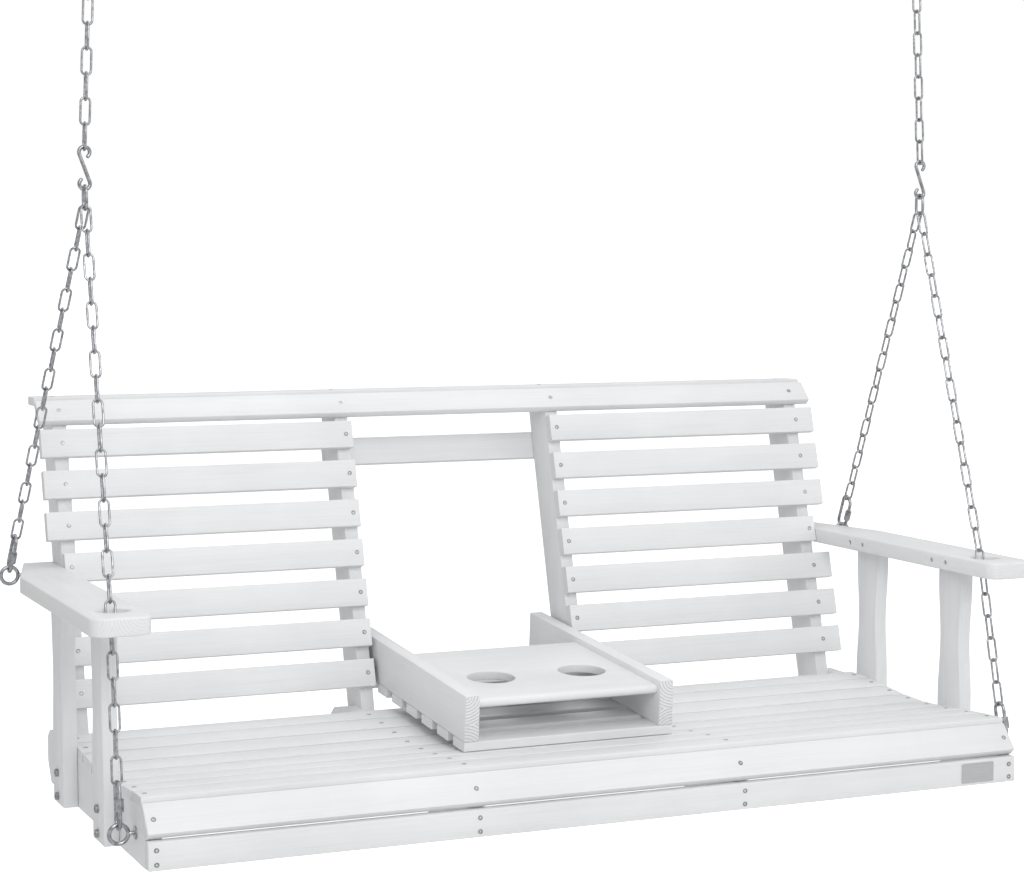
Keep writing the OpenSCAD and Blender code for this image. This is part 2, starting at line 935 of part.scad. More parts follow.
module arm(side) {
    color("white") hung()
        difference() {
            translate([0, 0, arm_z])
                linear_extrude(arm_t)
                    if (side > 0) arm_outline();
                    else mirror([1, 0]) arm_outline();
            for (y = [front_post_y, rear_post_y]) post_tenon(side, y, 0.15);
            arm_screw_places() arm_screw_bore();
            eye_bores();
            translate([side * rear_eye_seat, rear_eye_y, arm_mid_z])
                rotate([0, side * 90, 0]) cylinder(h = 60, r = washer_r + 1);
        }
}

module arm_left() {
    arm(LEFT);
}

module arm_right() {
    arm(RIGHT);
}

// The stub on a post's top that stands in the arm
module post_tenon(side, y, play) {
    size = [frame_t - 2 * tenon_in, arm_post_w - 2 * tenon_in, tenon_h];
    translate([
        side * arm_post_x - size[0] / 2 - play,
        y - size[1] / 2 - play,
        arm_z - (play > 0 ? 1 : 0),
    ])
        cube([size[0] + 2 * play, size[1] + 2 * play, size[2] + play + (play > 0 ? 1 : 0)]);
}

// A post is waisted on both edges between two heights
waist_low = 110;
waist_high = 320;
waist_steps = 16;
function post_half(z) = arm_post_w / 2
    - arm_post_waist / 2 * (1 - cos(360 * (z - waist_low) / (waist_high - waist_low)));
waist_z = [for (k = [0:waist_steps]) waist_low + k * (waist_high - waist_low) / waist_steps];

module arm_post_outline() {
    polygon(concat(
        [[-arm_post_w / 2, 0]],
        [for (z = waist_z) [-post_half(z), z]],
        [[-arm_post_w / 2, arm_z], [arm_post_w / 2, arm_z]],
        [for (k = [waist_steps:-1:0]) [post_half(waist_z[k]), waist_z[k]]],
        [[arm_post_w / 2, 0]]
    ));
}

plug_side = 7;
plug_t = 3;
plug_below_arm = 34;

module plug_place(side, y) {
    translate([side * (arm_post_x - frame_t / 2), y, arm_z - plug_below_arm])
        rotate([45, 0, 0]) children();
}

module arm_post(side, y) {
    color("white") hung()
        difference() {
            union() {
                translate([0, y, 0]) board(side * arm_post_x, frame_t) arm_post_outline();
                post_tenon(side, y, 0);
            }
            arm_post_bolt_places() post_bolt_bore();
            arm_screw_places() arm_screw_bore();
            plug_place(side, y) cube([2 * plug_t, plug_side + 0.1, plug_side + 0.1], center = true);
        }
}

module arm_post_front_left() {
    arm_post(LEFT, front_post_y);
}

module arm_post_rear_left() {
    arm_post(LEFT, rear_post_y);
}

module arm_post_front_right() {
    arm_post(RIGHT, front_post_y);
}

module arm_post_rear_right() {
    arm_post(RIGHT, rear_post_y);
}

module post_plugs() {
    color("white") hung()
        for (side = [LEFT, RIGHT])
            for (y = [front_post_y, rear_post_y])
                plug_place(side, y)
                    translate([side * (plug_t / 2 - 0.4), 0, 0])
                        cube([plug_t - 0.3, plug_side, plug_side], center = true);
}

bolt_head_r = 6.5;
bolt_head_t = 5;
bolt_len = 2 * frame_t + nut_h + 3;

module post_bolt_bore() {
    translate([0, 0, -2 * frame_t - 40]) cylinder(h = 2 * frame_t + 80, d = bolt_d + 2 * fit);
}

module arm_post_bolts() {
    color("gray") hung()
        arm_post_bolt_places()
            difference() {
                union() {
                    cylinder(h = bolt_head_t, r = bolt_head_r);
                    translate([0, 0, -bolt_len]) cylinder(h = bolt_len + 1, d = bolt_d);
                }
                translate([0, 0, 2]) cylinder(h = bolt_head_t, r = 3.2, $fn = 6);
            }
}

module arm_post_nuts() {
    color("gray") hung()
        arm_post_bolt_places() translate([0, 0, -2 * frame_t - nut_h]) nut(nut_h);
}

// A recessed screw across the arm: bore, then the screw at its bottom
module arm_screw_bore() {
    translate([0, 0, -arm_screw_sink]) cylinder(h = arm_screw_sink + 1, d = 9);
    translate([0, 0, -arm_screw_sink - arm_screw_len - fit])
        cylinder(h = arm_screw_len + 1, d = 5 + 2 * fit);
}

module arm_screws() {
    color("gray") hung()
        arm_screw_places()
            translate([0, 0, -arm_screw_sink])
                difference() {
                    union() {
                        cylinder(h = 4, d = 8.6);
                        translate([0, 0, -arm_screw_len]) cylinder(h = arm_screw_len + 1, d = 5);
                    }
                    translate([0, 0, 1.5]) cylinder(h = 4, r = 2.4, $fn = 6);
                }
}

// --- Console -----------------------------------------------------------------------------------

module console_side(side) {
    color("white") hung()
        on_console()
            difference() {
                translate([side > 0 ? console_in : -console_out, -console_front, side_z])
                    cube([side_t, console_front + console_tail, side_h]);
                rotate([0, 90, 0]) cylinder(h = gap_w, d = bolt_d + 2 * fit, center = true);
                console_slat_screw_places() screw(console_slat_t + screw_bite, fit);
                plate_screw_places() screw(side_t + 1, fit);
            }
}

module console_side_left() {
    console_side(LEFT);
}

module console_side_right() {
    console_side(RIGHT);
}

// Screws up through the console's slats into its sides
module console_slat_screw_places() {
    for (i = [0:console_slat_count - 1])
        for (x = [-1, 1])
            translate([
                x * (console_in + side_t / 2),
                -console_front + back_slat_w / 2 + i * back_pitch,
                -pivot_drop,
            ])
                rotate([180, 0, 0]) children();
}

// Screws through the sides into the table plate's edges
module plate_screw_places() {
    for (side = [LEFT, RIGHT])
        for (k = [0.15, 0.5, 0.85])
            translate([side * console_out, plate_front + k * plate_len, plate_screw_z])
                rotate([0, side * 90, 0]) children();
}

module console_slats() {
    color("white") hung()
        on_console()
            for (i = [0:console_slat_count - 1])
                difference() {
                    translate([-console_out, -console_front + i * back_pitch, -pivot_drop])
                        cube([2 * console_out, back_slat_w, console_slat_t]);
                    console_slat_screw_places() screw(console_slat_t + 1, fit);
                }
}

// The table plate, with a round front edge and two cup holes
module table_plate() {
    color("white") hung()
        on_console()
            difference() {
                union() {
                    translate([-console_in, plate_front + plate_t / 2, plate_z])
                        cube([2 * console_in, plate_len - plate_t / 2, plate_t]);
                    translate([-console_in, plate_front + plate_t / 2, plate_z + plate_t / 2])
                        rotate([0, 90, 0]) cylinder(h = 2 * console_in, d = plate_t);
                }
                for (x = [-cup_span / 2, cup_span / 2])
                    translate([x, cup_y, plate_z - 1]) cylinder(h = plate_t + 2, r = cup_r, $fn = 96);
                plate_screw_places() screw(side_t + screw_bite, fit);
            }
}

module console_screws() {
    color("gray") hung()
        on_console() {
            console_slat_screw_places() set_screw(console_slat_t + screw_bite - 1);
            plate_screw_places() set_screw(side_t + screw_bite - 1);
        }
}

// Pivot bolts: dome head inside the console, through its side, a spacer and the inner post
module pivot_places() {
    for (side = [LEFT, RIGHT])
        translate([side * console_in, pivot_y, pivot_z])
            rotate([0, side * 90, 0]) children();
}

pivot_grip = side_t + console_play + frame_t;
pivot_head_gap = 0.3;

module pivot_bolts() {
    color("gray") hung()
        pivot_places() {
            translate([0, 0, -pivot_head_gap - 4]) cylinder(h = 4, r = 9);
            translate([0, 0, -pivot_head_gap - 1])
                cylinder(h = pivot_grip + nut_h + 3 + pivot_head_gap + 1, d = bolt_d);
        }
}

module pivot_spacers() {
    color("gainsboro") hung()
        pivot_places()
            translate([0, 0, side_t + 0.4])
                difference() {
                    cylinder(h = console_play - 0.4, r = washer_r);
                    translate([0, 0, -1]) cylinder(h = console_play + 2, d = bolt_d + 2 * fit);
                }
}

module pivot_nuts() {
    color("gray") hung() pivot_places() translate([0, 0, pivot_grip]) nut(nut_h);
}

// --- Screws of the frame and the blank plate ---------------------------------------------------

module frame_screws() {
    color("gray") hung() {
        apron_screws() set_screw(apron_t + screw_bite - 1);
        front_slat_screws() set_screw(slat_t + screw_bite - 1);
        for (i = [0:seat_slats - 1]) seat_slat_screws(i) set_screw(slat_t + screw_bite - 1);
        for (i = [0:back_slats - 1]) back_slat_screws(i) set_screw(back_slat_t + screw_bite - 1);
        rail_screws() set_screw(slat_t + screw_bite - 1);
        cap_screws() set_screw(slat_t + screw_bite - 1);
        stop_bar_screws() set_screw(back_slat_t + screw_bite - 1);
    }
}

module blank_plate() {
    color("dimgray") hung()
        translate([blank_plate_x - blank_plate_size[0] / 2, -1, (apron_h - blank_plate_size[1]) / 2])
            cube([blank_plate_size[0], 1, blank_plate_size[1]]);
}

ceiling_hooks();
upper_chain_left();
upper_chain_right();
s_hooks();
joining_links();
chain_front_left();
chain_front_right();
chain_rear_left();
chain_rear_right();
quick_links();
sleeve_front_left();
sleeve_front_right();
sleeve_rear_left();
sleeve_rear_right();
eye_bolts();
eye_washers();
eye_nuts();
apron_board();
front_slat();
seat_slat_1();
seat_slat_2();
seat_slat_3();
seat_slat_4();
seat_slat_5();
seat_slat_6();
seat_slat_7();
seat_slat_8();
seat_support_left_outer();
seat_support_left_inner();
seat_support_right_inner();
seat_support_right_outer();
back_post_left_outer();
back_post_left_inner();
back_post_right_inner();
back_post_right_outer();
back_slats_left();
back_slats_right();
top_rail();
rail_cap();
stop_bar();
console_side_left();
console_side_right();
console_slats();
table_plate();
pivot_bolts();
pivot_spacers();
pivot_nuts();
arm_left();
arm_right();
arm_post_front_left();
arm_post_rear_left();
arm_post_front_right();
arm_post_rear_right();
arm_post_bolts();
arm_post_nuts();
arm_screws();
post_plugs();
frame_screws();
console_screws();
blank_plate();
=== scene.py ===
"""A white slatted porch swing with a fold-down centre console, hung on zinc-plated chain.

Sizes are millimetres in the bench's own frame (X right, Y back, Z up, zero at the foot of the
apron's front face). ``row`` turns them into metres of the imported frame.
"""
import logging
import math
from collections.abc import Sequence
from dataclasses import dataclass
from enum import Enum

import bmesh
import bpy
from mathutils import Matrix, Vector


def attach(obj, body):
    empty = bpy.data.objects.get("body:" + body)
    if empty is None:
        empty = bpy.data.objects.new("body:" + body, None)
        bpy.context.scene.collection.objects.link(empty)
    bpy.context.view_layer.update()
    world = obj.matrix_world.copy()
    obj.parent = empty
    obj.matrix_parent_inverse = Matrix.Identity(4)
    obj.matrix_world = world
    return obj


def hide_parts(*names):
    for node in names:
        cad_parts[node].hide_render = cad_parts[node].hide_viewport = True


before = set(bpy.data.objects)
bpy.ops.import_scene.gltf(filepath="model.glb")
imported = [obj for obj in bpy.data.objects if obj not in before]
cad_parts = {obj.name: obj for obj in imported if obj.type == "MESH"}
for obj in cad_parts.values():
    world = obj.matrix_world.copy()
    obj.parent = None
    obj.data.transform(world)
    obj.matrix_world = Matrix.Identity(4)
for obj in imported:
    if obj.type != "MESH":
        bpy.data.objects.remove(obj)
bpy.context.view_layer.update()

log = logging.getLogger("porch_swing")
MM = 0.001
HANG_Y = 325.0
HANG_H = 1410.0
SMOOTH_BELOW = 35.0
EVEN = (1.0, 1.0, 1.0)
ACROSS_X = Vector((1, 0, 0))
QUARTER = math.pi / 2

Point = tuple[float, float]
Colour = tuple[float, float, float]
Node = bpy.types.Node
Socket = bpy.types.NodeSocket
Material = bpy.types.Material
Piece = bpy.types.Object
Mesh = bmesh.types.BMesh


class Side(Enum):
    """The two ends of the swing."""

    LEFT = -1
    RIGHT = 1

    @property
    def word(self) -> str:
        """The side's name in small letters."""
        return self.name.lower()


class End(Enum):
    """Where a lower strand of chain is fixed."""

    FRONT = "front"
    REAR = "rear"


class Grain(Enum):
    """The axis along which a board's grain runs."""

    ACROSS = 0
    DEPTH = 1
    UPRIGHT = 2


def row(x: float, y: float, z: float) -> Vector:
    """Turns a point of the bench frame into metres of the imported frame."""
    return Vector((x, y - HANG_Y, z - HANG_H)) * MM


def lying(y: float, z: float, tilt: float) -> Matrix:
    """The frame of a board that is tilted about the X axis.

    Args:
        y: Distance of its zero from the apron's face.
        z: Height of its zero.
        tilt: Turn about X, in degrees.

    Returns:
        A matrix from the board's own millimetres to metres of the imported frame.
    """
    turn = Matrix.Rotation(math.radians(tilt), 4, "X")
    return Matrix.Translation(row(0, y, z)) @ turn @ Matrix.Scale(MM, 4)


def turn_of(matrix: Matrix) -> Matrix:
    """The bare rotation of a frame that also scales."""
    return matrix.to_quaternion().to_matrix()


# --- Finishes ------------------------------------------------------------------------------------


class NodeWork:
    """Lays out the nodes of one tree."""

    def __init__(self, tree: bpy.types.NodeTree) -> None:
        """Takes the tree that is to be filled."""
        self.tree = tree

    def feed(self, node: Node, key: str | int, value: object) -> None:
        """Links a socket to one of a node's inputs, or sets that input to a constant."""
        if isinstance(value, Socket):
            self.tree.links.new(value, node.inputs[key])
        else:
            node.inputs[key].default_value = value

    def add(self, kind: str, feeds: dict[str | int, object] | None = None, **values: object) -> Node:
        """Adds a node.

        Args:
            kind: Its type.
            feeds: A socket or a constant for each input, by name or number.
            **values: Its plain attributes.

        Returns:
            The node.
        """
        node = self.tree.nodes.new(kind)
        for key, value in values.items():
            setattr(node, key, value)
        for key, value in (feeds or {}).items():
            self.feed(node, key, value)
        return node

    def math(self, operation: str, first: Socket, second: Socket | float = 0.0) -> Socket:
        """One step of arithmetic on values."""
        return self.add("ShaderNodeMath", {0: first, 1: second}, operation=operation).outputs[0]


class Surface(NodeWork):
    """Lays out the nodes of one material."""

    def __init__(self, name: str) -> None:
        """Starts an empty material."""
        self.material = bpy.data.materials.new(name)
        self.material.use_nodes = True
        super().__init__(self.material.node_tree)
        self.tree.nodes.clear()

    def place(self, kind: str = "Object") -> Socket:
        """A coordinate of the object's own: its place, or its Normal."""
        return self.add("ShaderNodeTexCoord").outputs[kind]

    def noise(self, stretch: Colour, scale: float, detail: float, rough: float = 0.55) -> Socket:
        """A noise on Object coordinates.

        Args:
            stretch: How many times finer it is along X, Y and Z.
            scale: Its base scale, per metre.
            detail: Octaves.
            rough: How strong the fine octaves are.

        Returns:
            The noise, from 0 to 1.
        """
        mapping = self.add("ShaderNodeMapping", {"Vector": self.place(), "Scale": stretch})
        feeds = {"Vector": mapping.outputs[0], "Scale": scale, "Detail": detail, "Roughness": rough}
        return self.add("ShaderNodeTexNoise", feeds).outputs["Fac"]

    def ramp(self, source: Socket, *stops: tuple[float, Colour]) -> Socket:
        """A ramp between two colours, fed by a value."""
        ramp = self.add("ShaderNodeValToRGB", {"Fac": source})
        for element, (position, colour) in zip(ramp.color_ramp.elements, stops):
            element.position = position
            element.color = (*colour, 1.0)
        return ramp.outputs["Color"]

    def spread(self, source: Socket, low: float, high: float) -> Socket:
        """Maps a value from 0 to 1 onto a range."""
        feeds = {"Value": source, "To Min": low, "To Max": high}
        return self.add("ShaderNodeMapRange", feeds).outputs["Result"]

    def mix(self, factor: Socket | float, first: Socket, second: Socket, blend: str = "MIX") -> Socket:
        """Mixes two colours by a factor."""
        feeds = {0: factor, 6: first, 7: second}
        return self.add("ShaderNodeMix", feeds, data_type="RGBA", blend_type=blend).outputs[2]

    def bump(
        self, height: Socket, strength: float, distance: float, under: Socket | None = None
    ) -> Socket:
        """A bump, laid over another one if there is one."""
        feeds = {"Height": height, "Strength": strength, "Distance": distance}
        if under is not None:
            feeds["Normal"] = under
        return self.add("ShaderNodeBump", feeds).outputs["Normal"]

    def finish(self, **feeds: object) -> Material:
        """Puts the shader on; an input's spaces are written as underscores."""
        named = {key.replace("_", " "): value for key, value in feeds.items()}
        shader = self.add("ShaderNodeBsdfPrincipled", named)
        self.add("ShaderNodeOutputMaterial", {"Surface": shader.outputs["BSDF"]})
        return self.material


@dataclass(frozen=True)
class PaintedWood:
    """Satin white paint on sawn pine: the grain shows through as shallow ridges.

    Attributes:
        grain: The axis along which the grain runs.
        light: Colour of the paint where it is thick.
        thin: Colour where it is thin over the hard grain.
        cut: Colour of the growth rings on a cut end.
        gloss: Roughness of the smooth paint.
        name: What the material's name starts with.
    """

    grain: Grain
    light: Colour = (0.80, 0.81, 0.815)
    thin: Colour = (0.76, 0.768, 0.775)
    cut: Colour = (0.68, 0.683, 0.685)
    gloss: float = 0.38
    name: str = "painted_wood"

    def make(self) -> Material:
        """Builds the material."""
        work = Surface(f"{self.name}_{self.grain.name.lower()}")
        fibre = work.noise(self.along(90.0, 2.2), 3.0, 8.0, 0.62)
        figure = work.noise(self.along(9.0, 0.7), 4.0, 5.0, 0.5)
        cloud = work.noise(EVEN, 5.5, 3.0, 0.5)
        pores = work.noise(EVEN, 520.0, 4.0, 0.7)
        tone = work.math("ADD", work.math("MULTIPLY", fibre, 0.55), work.math("MULTIPLY", figure, 0.45))
        paint = work.ramp(tone, (0.36, self.thin), (0.56, self.light))
        shade = work.ramp(cloud, (0.3, (0.93, 0.935, 0.94)), (0.7, EVEN))
        tinted = work.mix(1.0, paint, shade, "MULTIPLY")
        facing = work.add("ShaderNodeSeparateXYZ", {0: work.place("Normal")})
        across = work.math("ABSOLUTE", facing.outputs[self.grain.value])
        is_end = work.math("GREATER_THAN", across, 0.9)
        dry = work.ramp(self.rings(work, pores), (0.20, self.cut), (0.46, self.thin))
        rough = work.spread(fibre, self.gloss - 0.05, self.gloss + 0.16)
        ridges = work.bump(fibre, 0.22, 0.0005)
        return work.finish(
            Base_Color=work.mix(is_end, tinted, dry),
            Roughness=work.math("ADD", rough, work.math("MULTIPLY", is_end, 0.25)),
            Specular_IOR_Level=0.42,
            Normal=work.bump(pores, 0.10, 0.0002, ridges),
        )

    def along(self, fine: float, long: float) -> Colour:
        """How a noise is stretched so that it runs with the grain."""
        return tuple(long if axis == self.grain.value else fine for axis in range(3))

    def rings(self, work: Surface, pores: Socket) -> Socket:
        """The growth rings that show on a cut end, broken up by the pores."""
        parts = work.add("ShaderNodeSeparateXYZ", {0: work.place()})
        folds = {axis: work.math("PINGPONG", parts.outputs[axis], 0.047) for axis in range(3)}
        feeds = {
            "Vector": work.add("ShaderNodeCombineXYZ", folds).outputs[0],
            "Scale": 62.0,
            "Distortion": 2.2,
            "Detail": 3.0,
            "Detail Scale": 0.6,
        }
        lines = "XYZ"[self.grain.value]
        wave = work.add("ShaderNodeTexWave", feeds, wave_type="RINGS", rings_direction=lines)
        rings = work.math("MULTIPLY", wave.outputs["Fac"], 0.6)
        return work.math("ADD", rings, work.math("MULTIPLY", pores, 0.5))


@dataclass(frozen=True)
class PlatedSteel:
    """Zinc plate or plain bright steel, a little blotched and scratched.

    Attributes:
        name: The material's name.
        bright: Colour of the clean metal.
        dull: Colour of the blotches.
        gloss: Roughness of the clean metal.
    """

    name: str
    bright: Colour
    dull: Colour
    gloss: float

    def make(self) -> Material:
        """Builds the material."""
        work = Surface(self.name)
        blotch = work.noise(EVEN, 140.0, 4.0, 0.6)
        scratch = work.noise((1.0, 1.0, 14.0), 260.0, 3.0, 0.7)
        return work.finish(
            Base_Color=work.ramp(blotch, (0.38, self.dull), (0.6, self.bright)),
            Metallic=1.0,
            Roughness=work.spread(blotch, self.gloss + 0.12, self.gloss - 0.04),
            Normal=work.bump(scratch, 0.12, 0.0002),
        )


@dataclass(frozen=True)
class BlankPlate:
    """A thin grey plate with nothing on it, brushed along its length."""

    colour: Colour = (0.55, 0.56, 0.56)
    worn: Colour = (0.44, 0.45, 0.46)

    def make(self) -> Material:
        """Builds the material."""
        work = Surface("blank_plate")
        brush = work.noise((4.0, 1.0, 260.0), 6.0, 4.0, 0.6)
        return work.finish(
            Base_Color=work.ramp(brush, (0.35, self.worn), (0.65, self.colour)),
            Metallic=0.35,
            Roughness=work.spread(brush, 0.4, 0.6),
            Normal=work.bump(brush, 0.1, 0.0002),
        )


@dataclass(frozen=True)
class StudioFloor:
    """The pale matt ground under the swing.

    Attributes:
        colour: Its paint.
        glow: How much it is lifted towards white for the camera alone.
    """

    colour: Colour = (0.80, 0.80, 0.80)
    glow: float = 0.7

    def make(self) -> Material:
        """Builds the material."""
        work = Surface("studio_floor")
        darker = tuple(0.985 * part for part in self.colour)
        seen = work.add("ShaderNodeLightPath").outputs["Is Camera Ray"]
        return work.finish(
            Base_Color=work.ramp(work.noise(EVEN, 2.0, 3.0), (0.3, darker), (0.7, self.colour)),
            Roughness=0.9,
            Emission_Color=(1.0, 1.0, 1.0, 1.0),
            Emission_Strength=work.math("MULTIPLY", seen, self.glow),
        )


class Finishes:
    """Every material of the scene, made once."""

    def __init__(self) -> None:
        """Makes the materials."""
        self.wood = {grain: PaintedWood(grain).make() for grain in Grain}
        raw = PaintedWood(Grain.DEPTH, cut=(0.46, 0.46, 0.455), name="thinly_painted_end")
        self.open_end = raw.make()
        self.zinc = PlatedSteel("zinc_plate", (0.50, 0.51, 0.525), (0.27, 0.28, 0.295), 0.26).make()
        self.steel = PlatedSteel("bright_steel", (0.46, 0.46, 0.47), (0.26, 0.26, 0.27), 0.32).make()
        self.plate = BlankPlate().make()
        self.floor = StudioFloor().make()


# --- Mesh work -----------------------------------------------------------------------------------


def link_in(name: str, data: bpy.types.ID | None) -> Piece:
    """Makes an object and puts it in the scene."""
    made = bpy.data.objects.new(name, data)
    bpy.context.scene.collection.objects.link(made)
    return made


def as_data(name: str, mesh: Mesh) -> bpy.types.Mesh:
    """Turns a mesh under work into mesh data and frees it."""
    data = bpy.data.meshes.new(name)
    mesh.to_mesh(data)
    mesh.free()
    return data


def smooth_faces(data: bpy.types.Mesh, below: float = SMOOTH_BELOW) -> None:
    """Shades a mesh smooth, but for the edges that turn more than an angle in degrees."""
    data.shade_smooth()
    data.set_sharp_from_angle(angle=math.radians(below))


def settle(name: str, mesh: Mesh, material: Material, smooth: float = SMOOTH_BELOW) -> Piece:
    """Turns a mesh into a scene object at the origin.

    Args:
        name: Its name.
        mesh: The finished mesh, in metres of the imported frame; it is freed.
        material: Its finish.
        smooth: Edges sharper than this stay sharp, in degrees.

    Returns:
        The object.
    """
    bmesh.ops.remove_doubles(mesh, verts=mesh.verts, dist=1e-7)
    bmesh.ops.recalc_face_normals(mesh, faces=mesh.faces)
    data = as_data(name, mesh)
    data.materials.append(material)
    smooth_faces(data, smooth)
    return link_in(name, data)


def prism(outline: Sequence[Point], low: float, high: float, ease: float = 1.5, rings: int = 2) -> Mesh:
    """A board with an outline in its own XY plane, drawn up along Z, its edges eased.

    Args:
        outline: Corner points in order.
        low: Where it starts on Z.
        high: Where it ends on Z.
        ease: Radius of its edges.
        rings: Segments of the eased edge.

    Returns:
        The mesh, in millimetres.
    """
    mesh = bmesh.new()
    base = mesh.faces.new([mesh.verts.new((x, y, low)) for x, y in outline])
    moved = bmesh.ops.extrude_face_region(mesh, geom=[base])["geom"]
    top = [v for v in moved if isinstance(v, bmesh.types.BMVert)]
    bmesh.ops.translate(mesh, verts=top, vec=(0, 0, high - low))
    bmesh.ops.recalc_face_normals(mesh, faces=mesh.faces)
    if ease > 0:
        least = math.radians(30.0)
        edges = [e for e in mesh.edges if e.is_manifold and e.calc_face_angle(0.0) > least]
        bmesh.ops.bevel(
            mesh, geom=edges, offset=ease, segments=rings, profile=0.5, affect="EDGES", clamp_overlap=True
        )
    return mesh


def side_board(outline: Sequence[Point], low: float, high: float, ease: float = 1.5) -> Mesh:
    """A board with an outline of Y and Z points, between two places on X, in bench millimetres."""
    mesh = prism(outline, low, high, ease)
    mesh.transform(Matrix(((0, 0, 1, 0), (1, 0, 0, 0), (0, 1, 0, 0), (0, 0, 0, 1))))
    return mesh


def slab(low: Sequence[float], high: Sequence[float], ease: float = 1.5) -> Mesh:
    """A plain board between two corners, its edges eased, in millimetres."""
    outline = [(low[0], low[1]), (high[0], low[1]), (high[0], high[1]), (low[0], high[1])]
    return prism(outline, low[2], high[2], ease)


def to_row(mesh: Mesh) -> Mesh:
    """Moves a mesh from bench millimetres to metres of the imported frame."""
    mesh.transform(lying(0, 0, 0))
    return mesh


def join(parts: Sequence[Mesh]) -> Mesh:
    """Puts several meshes into one and frees them."""
    whole = bmesh.new()
    for part in parts:
        data = as_data("part", part)
        whole.from_mesh(data)
        bpy.data.meshes.remove(data)
    return whole


def arc(centre: Point, radius: float, start: float, end: float, steps: int) -> list[Point]:
    """Points round a centre from one angle to another, in degrees."""
    turns = [math.radians(start + (end - start) * k / steps) for k in range(steps + 1)]
    return [(centre[0] + radius * math.cos(a), centre[1] + radius * math.sin(a)) for a in turns]


def wire(path: Sequence[Vector], radius: float, closed: bool, sides: int = 14) -> Mesh:
    """A round wire swept along a path, its ends domed.

    Args:
        path: Centre points in order.
        radius: Half the wire's thickness.
        closed: True if the last point runs on to the first.
        sides: Faces round the wire.

    Returns:
        The closed mesh.
    """
    mesh = bmesh.new()
    last = len(path) - 1
    stations = []
    for i, place in enumerate(path):
        after = path[(i + 1) % len(path)] if closed else path[min(i + 1, last)]
        before = path[i - 1] if closed else path[max(i - 1, 0)]
        stations.append((place, (after - before).normalized(), 1.0))
    normal = stations[0][1].orthogonal().normalized()
    if not closed:
        dome = [(0.42, 0.9), (0.78, 0.62)]
        (first, back, _), (final, onward, _) = stations[0], stations[-1]
        head = [(first - back * radius * out, back, wide) for out, wide in reversed(dome)]
        tail = [(final + onward * radius * out, onward, wide) for out, wide in dome]
        stations = head + stations + tail
    rings = []
    for place, forward, wide in stations:
        normal = (normal - forward * normal.dot(forward)).normalized()
        second = forward.cross(normal)
        rim = arc((0, 0), radius * wide, 0, 360 - 360 / sides, sides - 1)
        rings.append([mesh.verts.new(place + normal * x + second * y) for x, y in rim])
    pairs = list(zip(rings, rings[1:]))
    if closed:
        pairs.append((rings[-1], rings[0]))
    else:
        mesh.faces.new(rings[0])
        mesh.faces.new(rings[-1])
    for near, far in pairs:
        for k in range(sides):
            mesh.faces.new((near[k], near[(k + 1) % sides], far[(k + 1) % sides], far[k]))
    return mesh


def keep_result(made: Piece) -> bpy.types.Mesh:
    """Keeps what an object's modifiers make as its mesh and takes them off."""
    graph = bpy.context.evaluated_depsgraph_get()
    made_mesh = bpy.data.meshes.new_from_object(made.evaluated_get(graph), depsgraph=graph)
    made.modifiers.clear()
    made.data = made_mesh
    return made_mesh


@dataclass(frozen=True)
class Hole:
    """A round hole to be cut: its middle, its direction, its radius and the cutter's length."""

    centre: Vector
    direction: Vector
    radius: float
    length: float

    def fill(self, mesh: Mesh) -> None:
        """Adds the cutter's cylinder to a mesh."""
        turn = self.direction.to_track_quat("Z", "Y").to_matrix().to_4x4()
        bmesh.ops.create_cone(
            mesh, cap_ends=True, segments=48, radius1=self.radius, radius2=self.radius, depth=self.length,
            matrix=Matrix.Translation(self.centre) @ turn,
        )


def cut(made: Piece, holes: Sequence[Hole]) -> None:
    """Cuts round holes out of an object for good."""
    mesh = bmesh.new()
    for hole in holes:
        hole.fill(mesh)
    cutter = link_in("cutter", as_data("cutter", mesh))
    modifier = made.modifiers.new("holes", "BOOLEAN")
    modifier.operation = "DIFFERENCE"
    modifier.solver = "EXACT"
    modifier.object = cutter
    keep_result(made)
    bpy.data.objects.remove(cutter)


def round_over(made: Piece, width: float) -> None:
    """Rounds an object's sharp edges for good."""
    modifier = made.modifiers.new("ease", "BEVEL")
    modifier.width = width * MM
    modifier.segments = 3
    modifier.limit_method = "ANGLE"
    modifier.angle_limit = math.radians(40)
    modifier.use_clamp_overlap = False
    keep_result(made)


# --- Geometry node trees -------------------------------------------------------------------------


@dataclass(frozen=True)
class Spot:
    """Where one repeated piece goes: its place, its turn and its length along its own X."""

    place: Vector
    turn: Matrix
    reach: float = 1.0


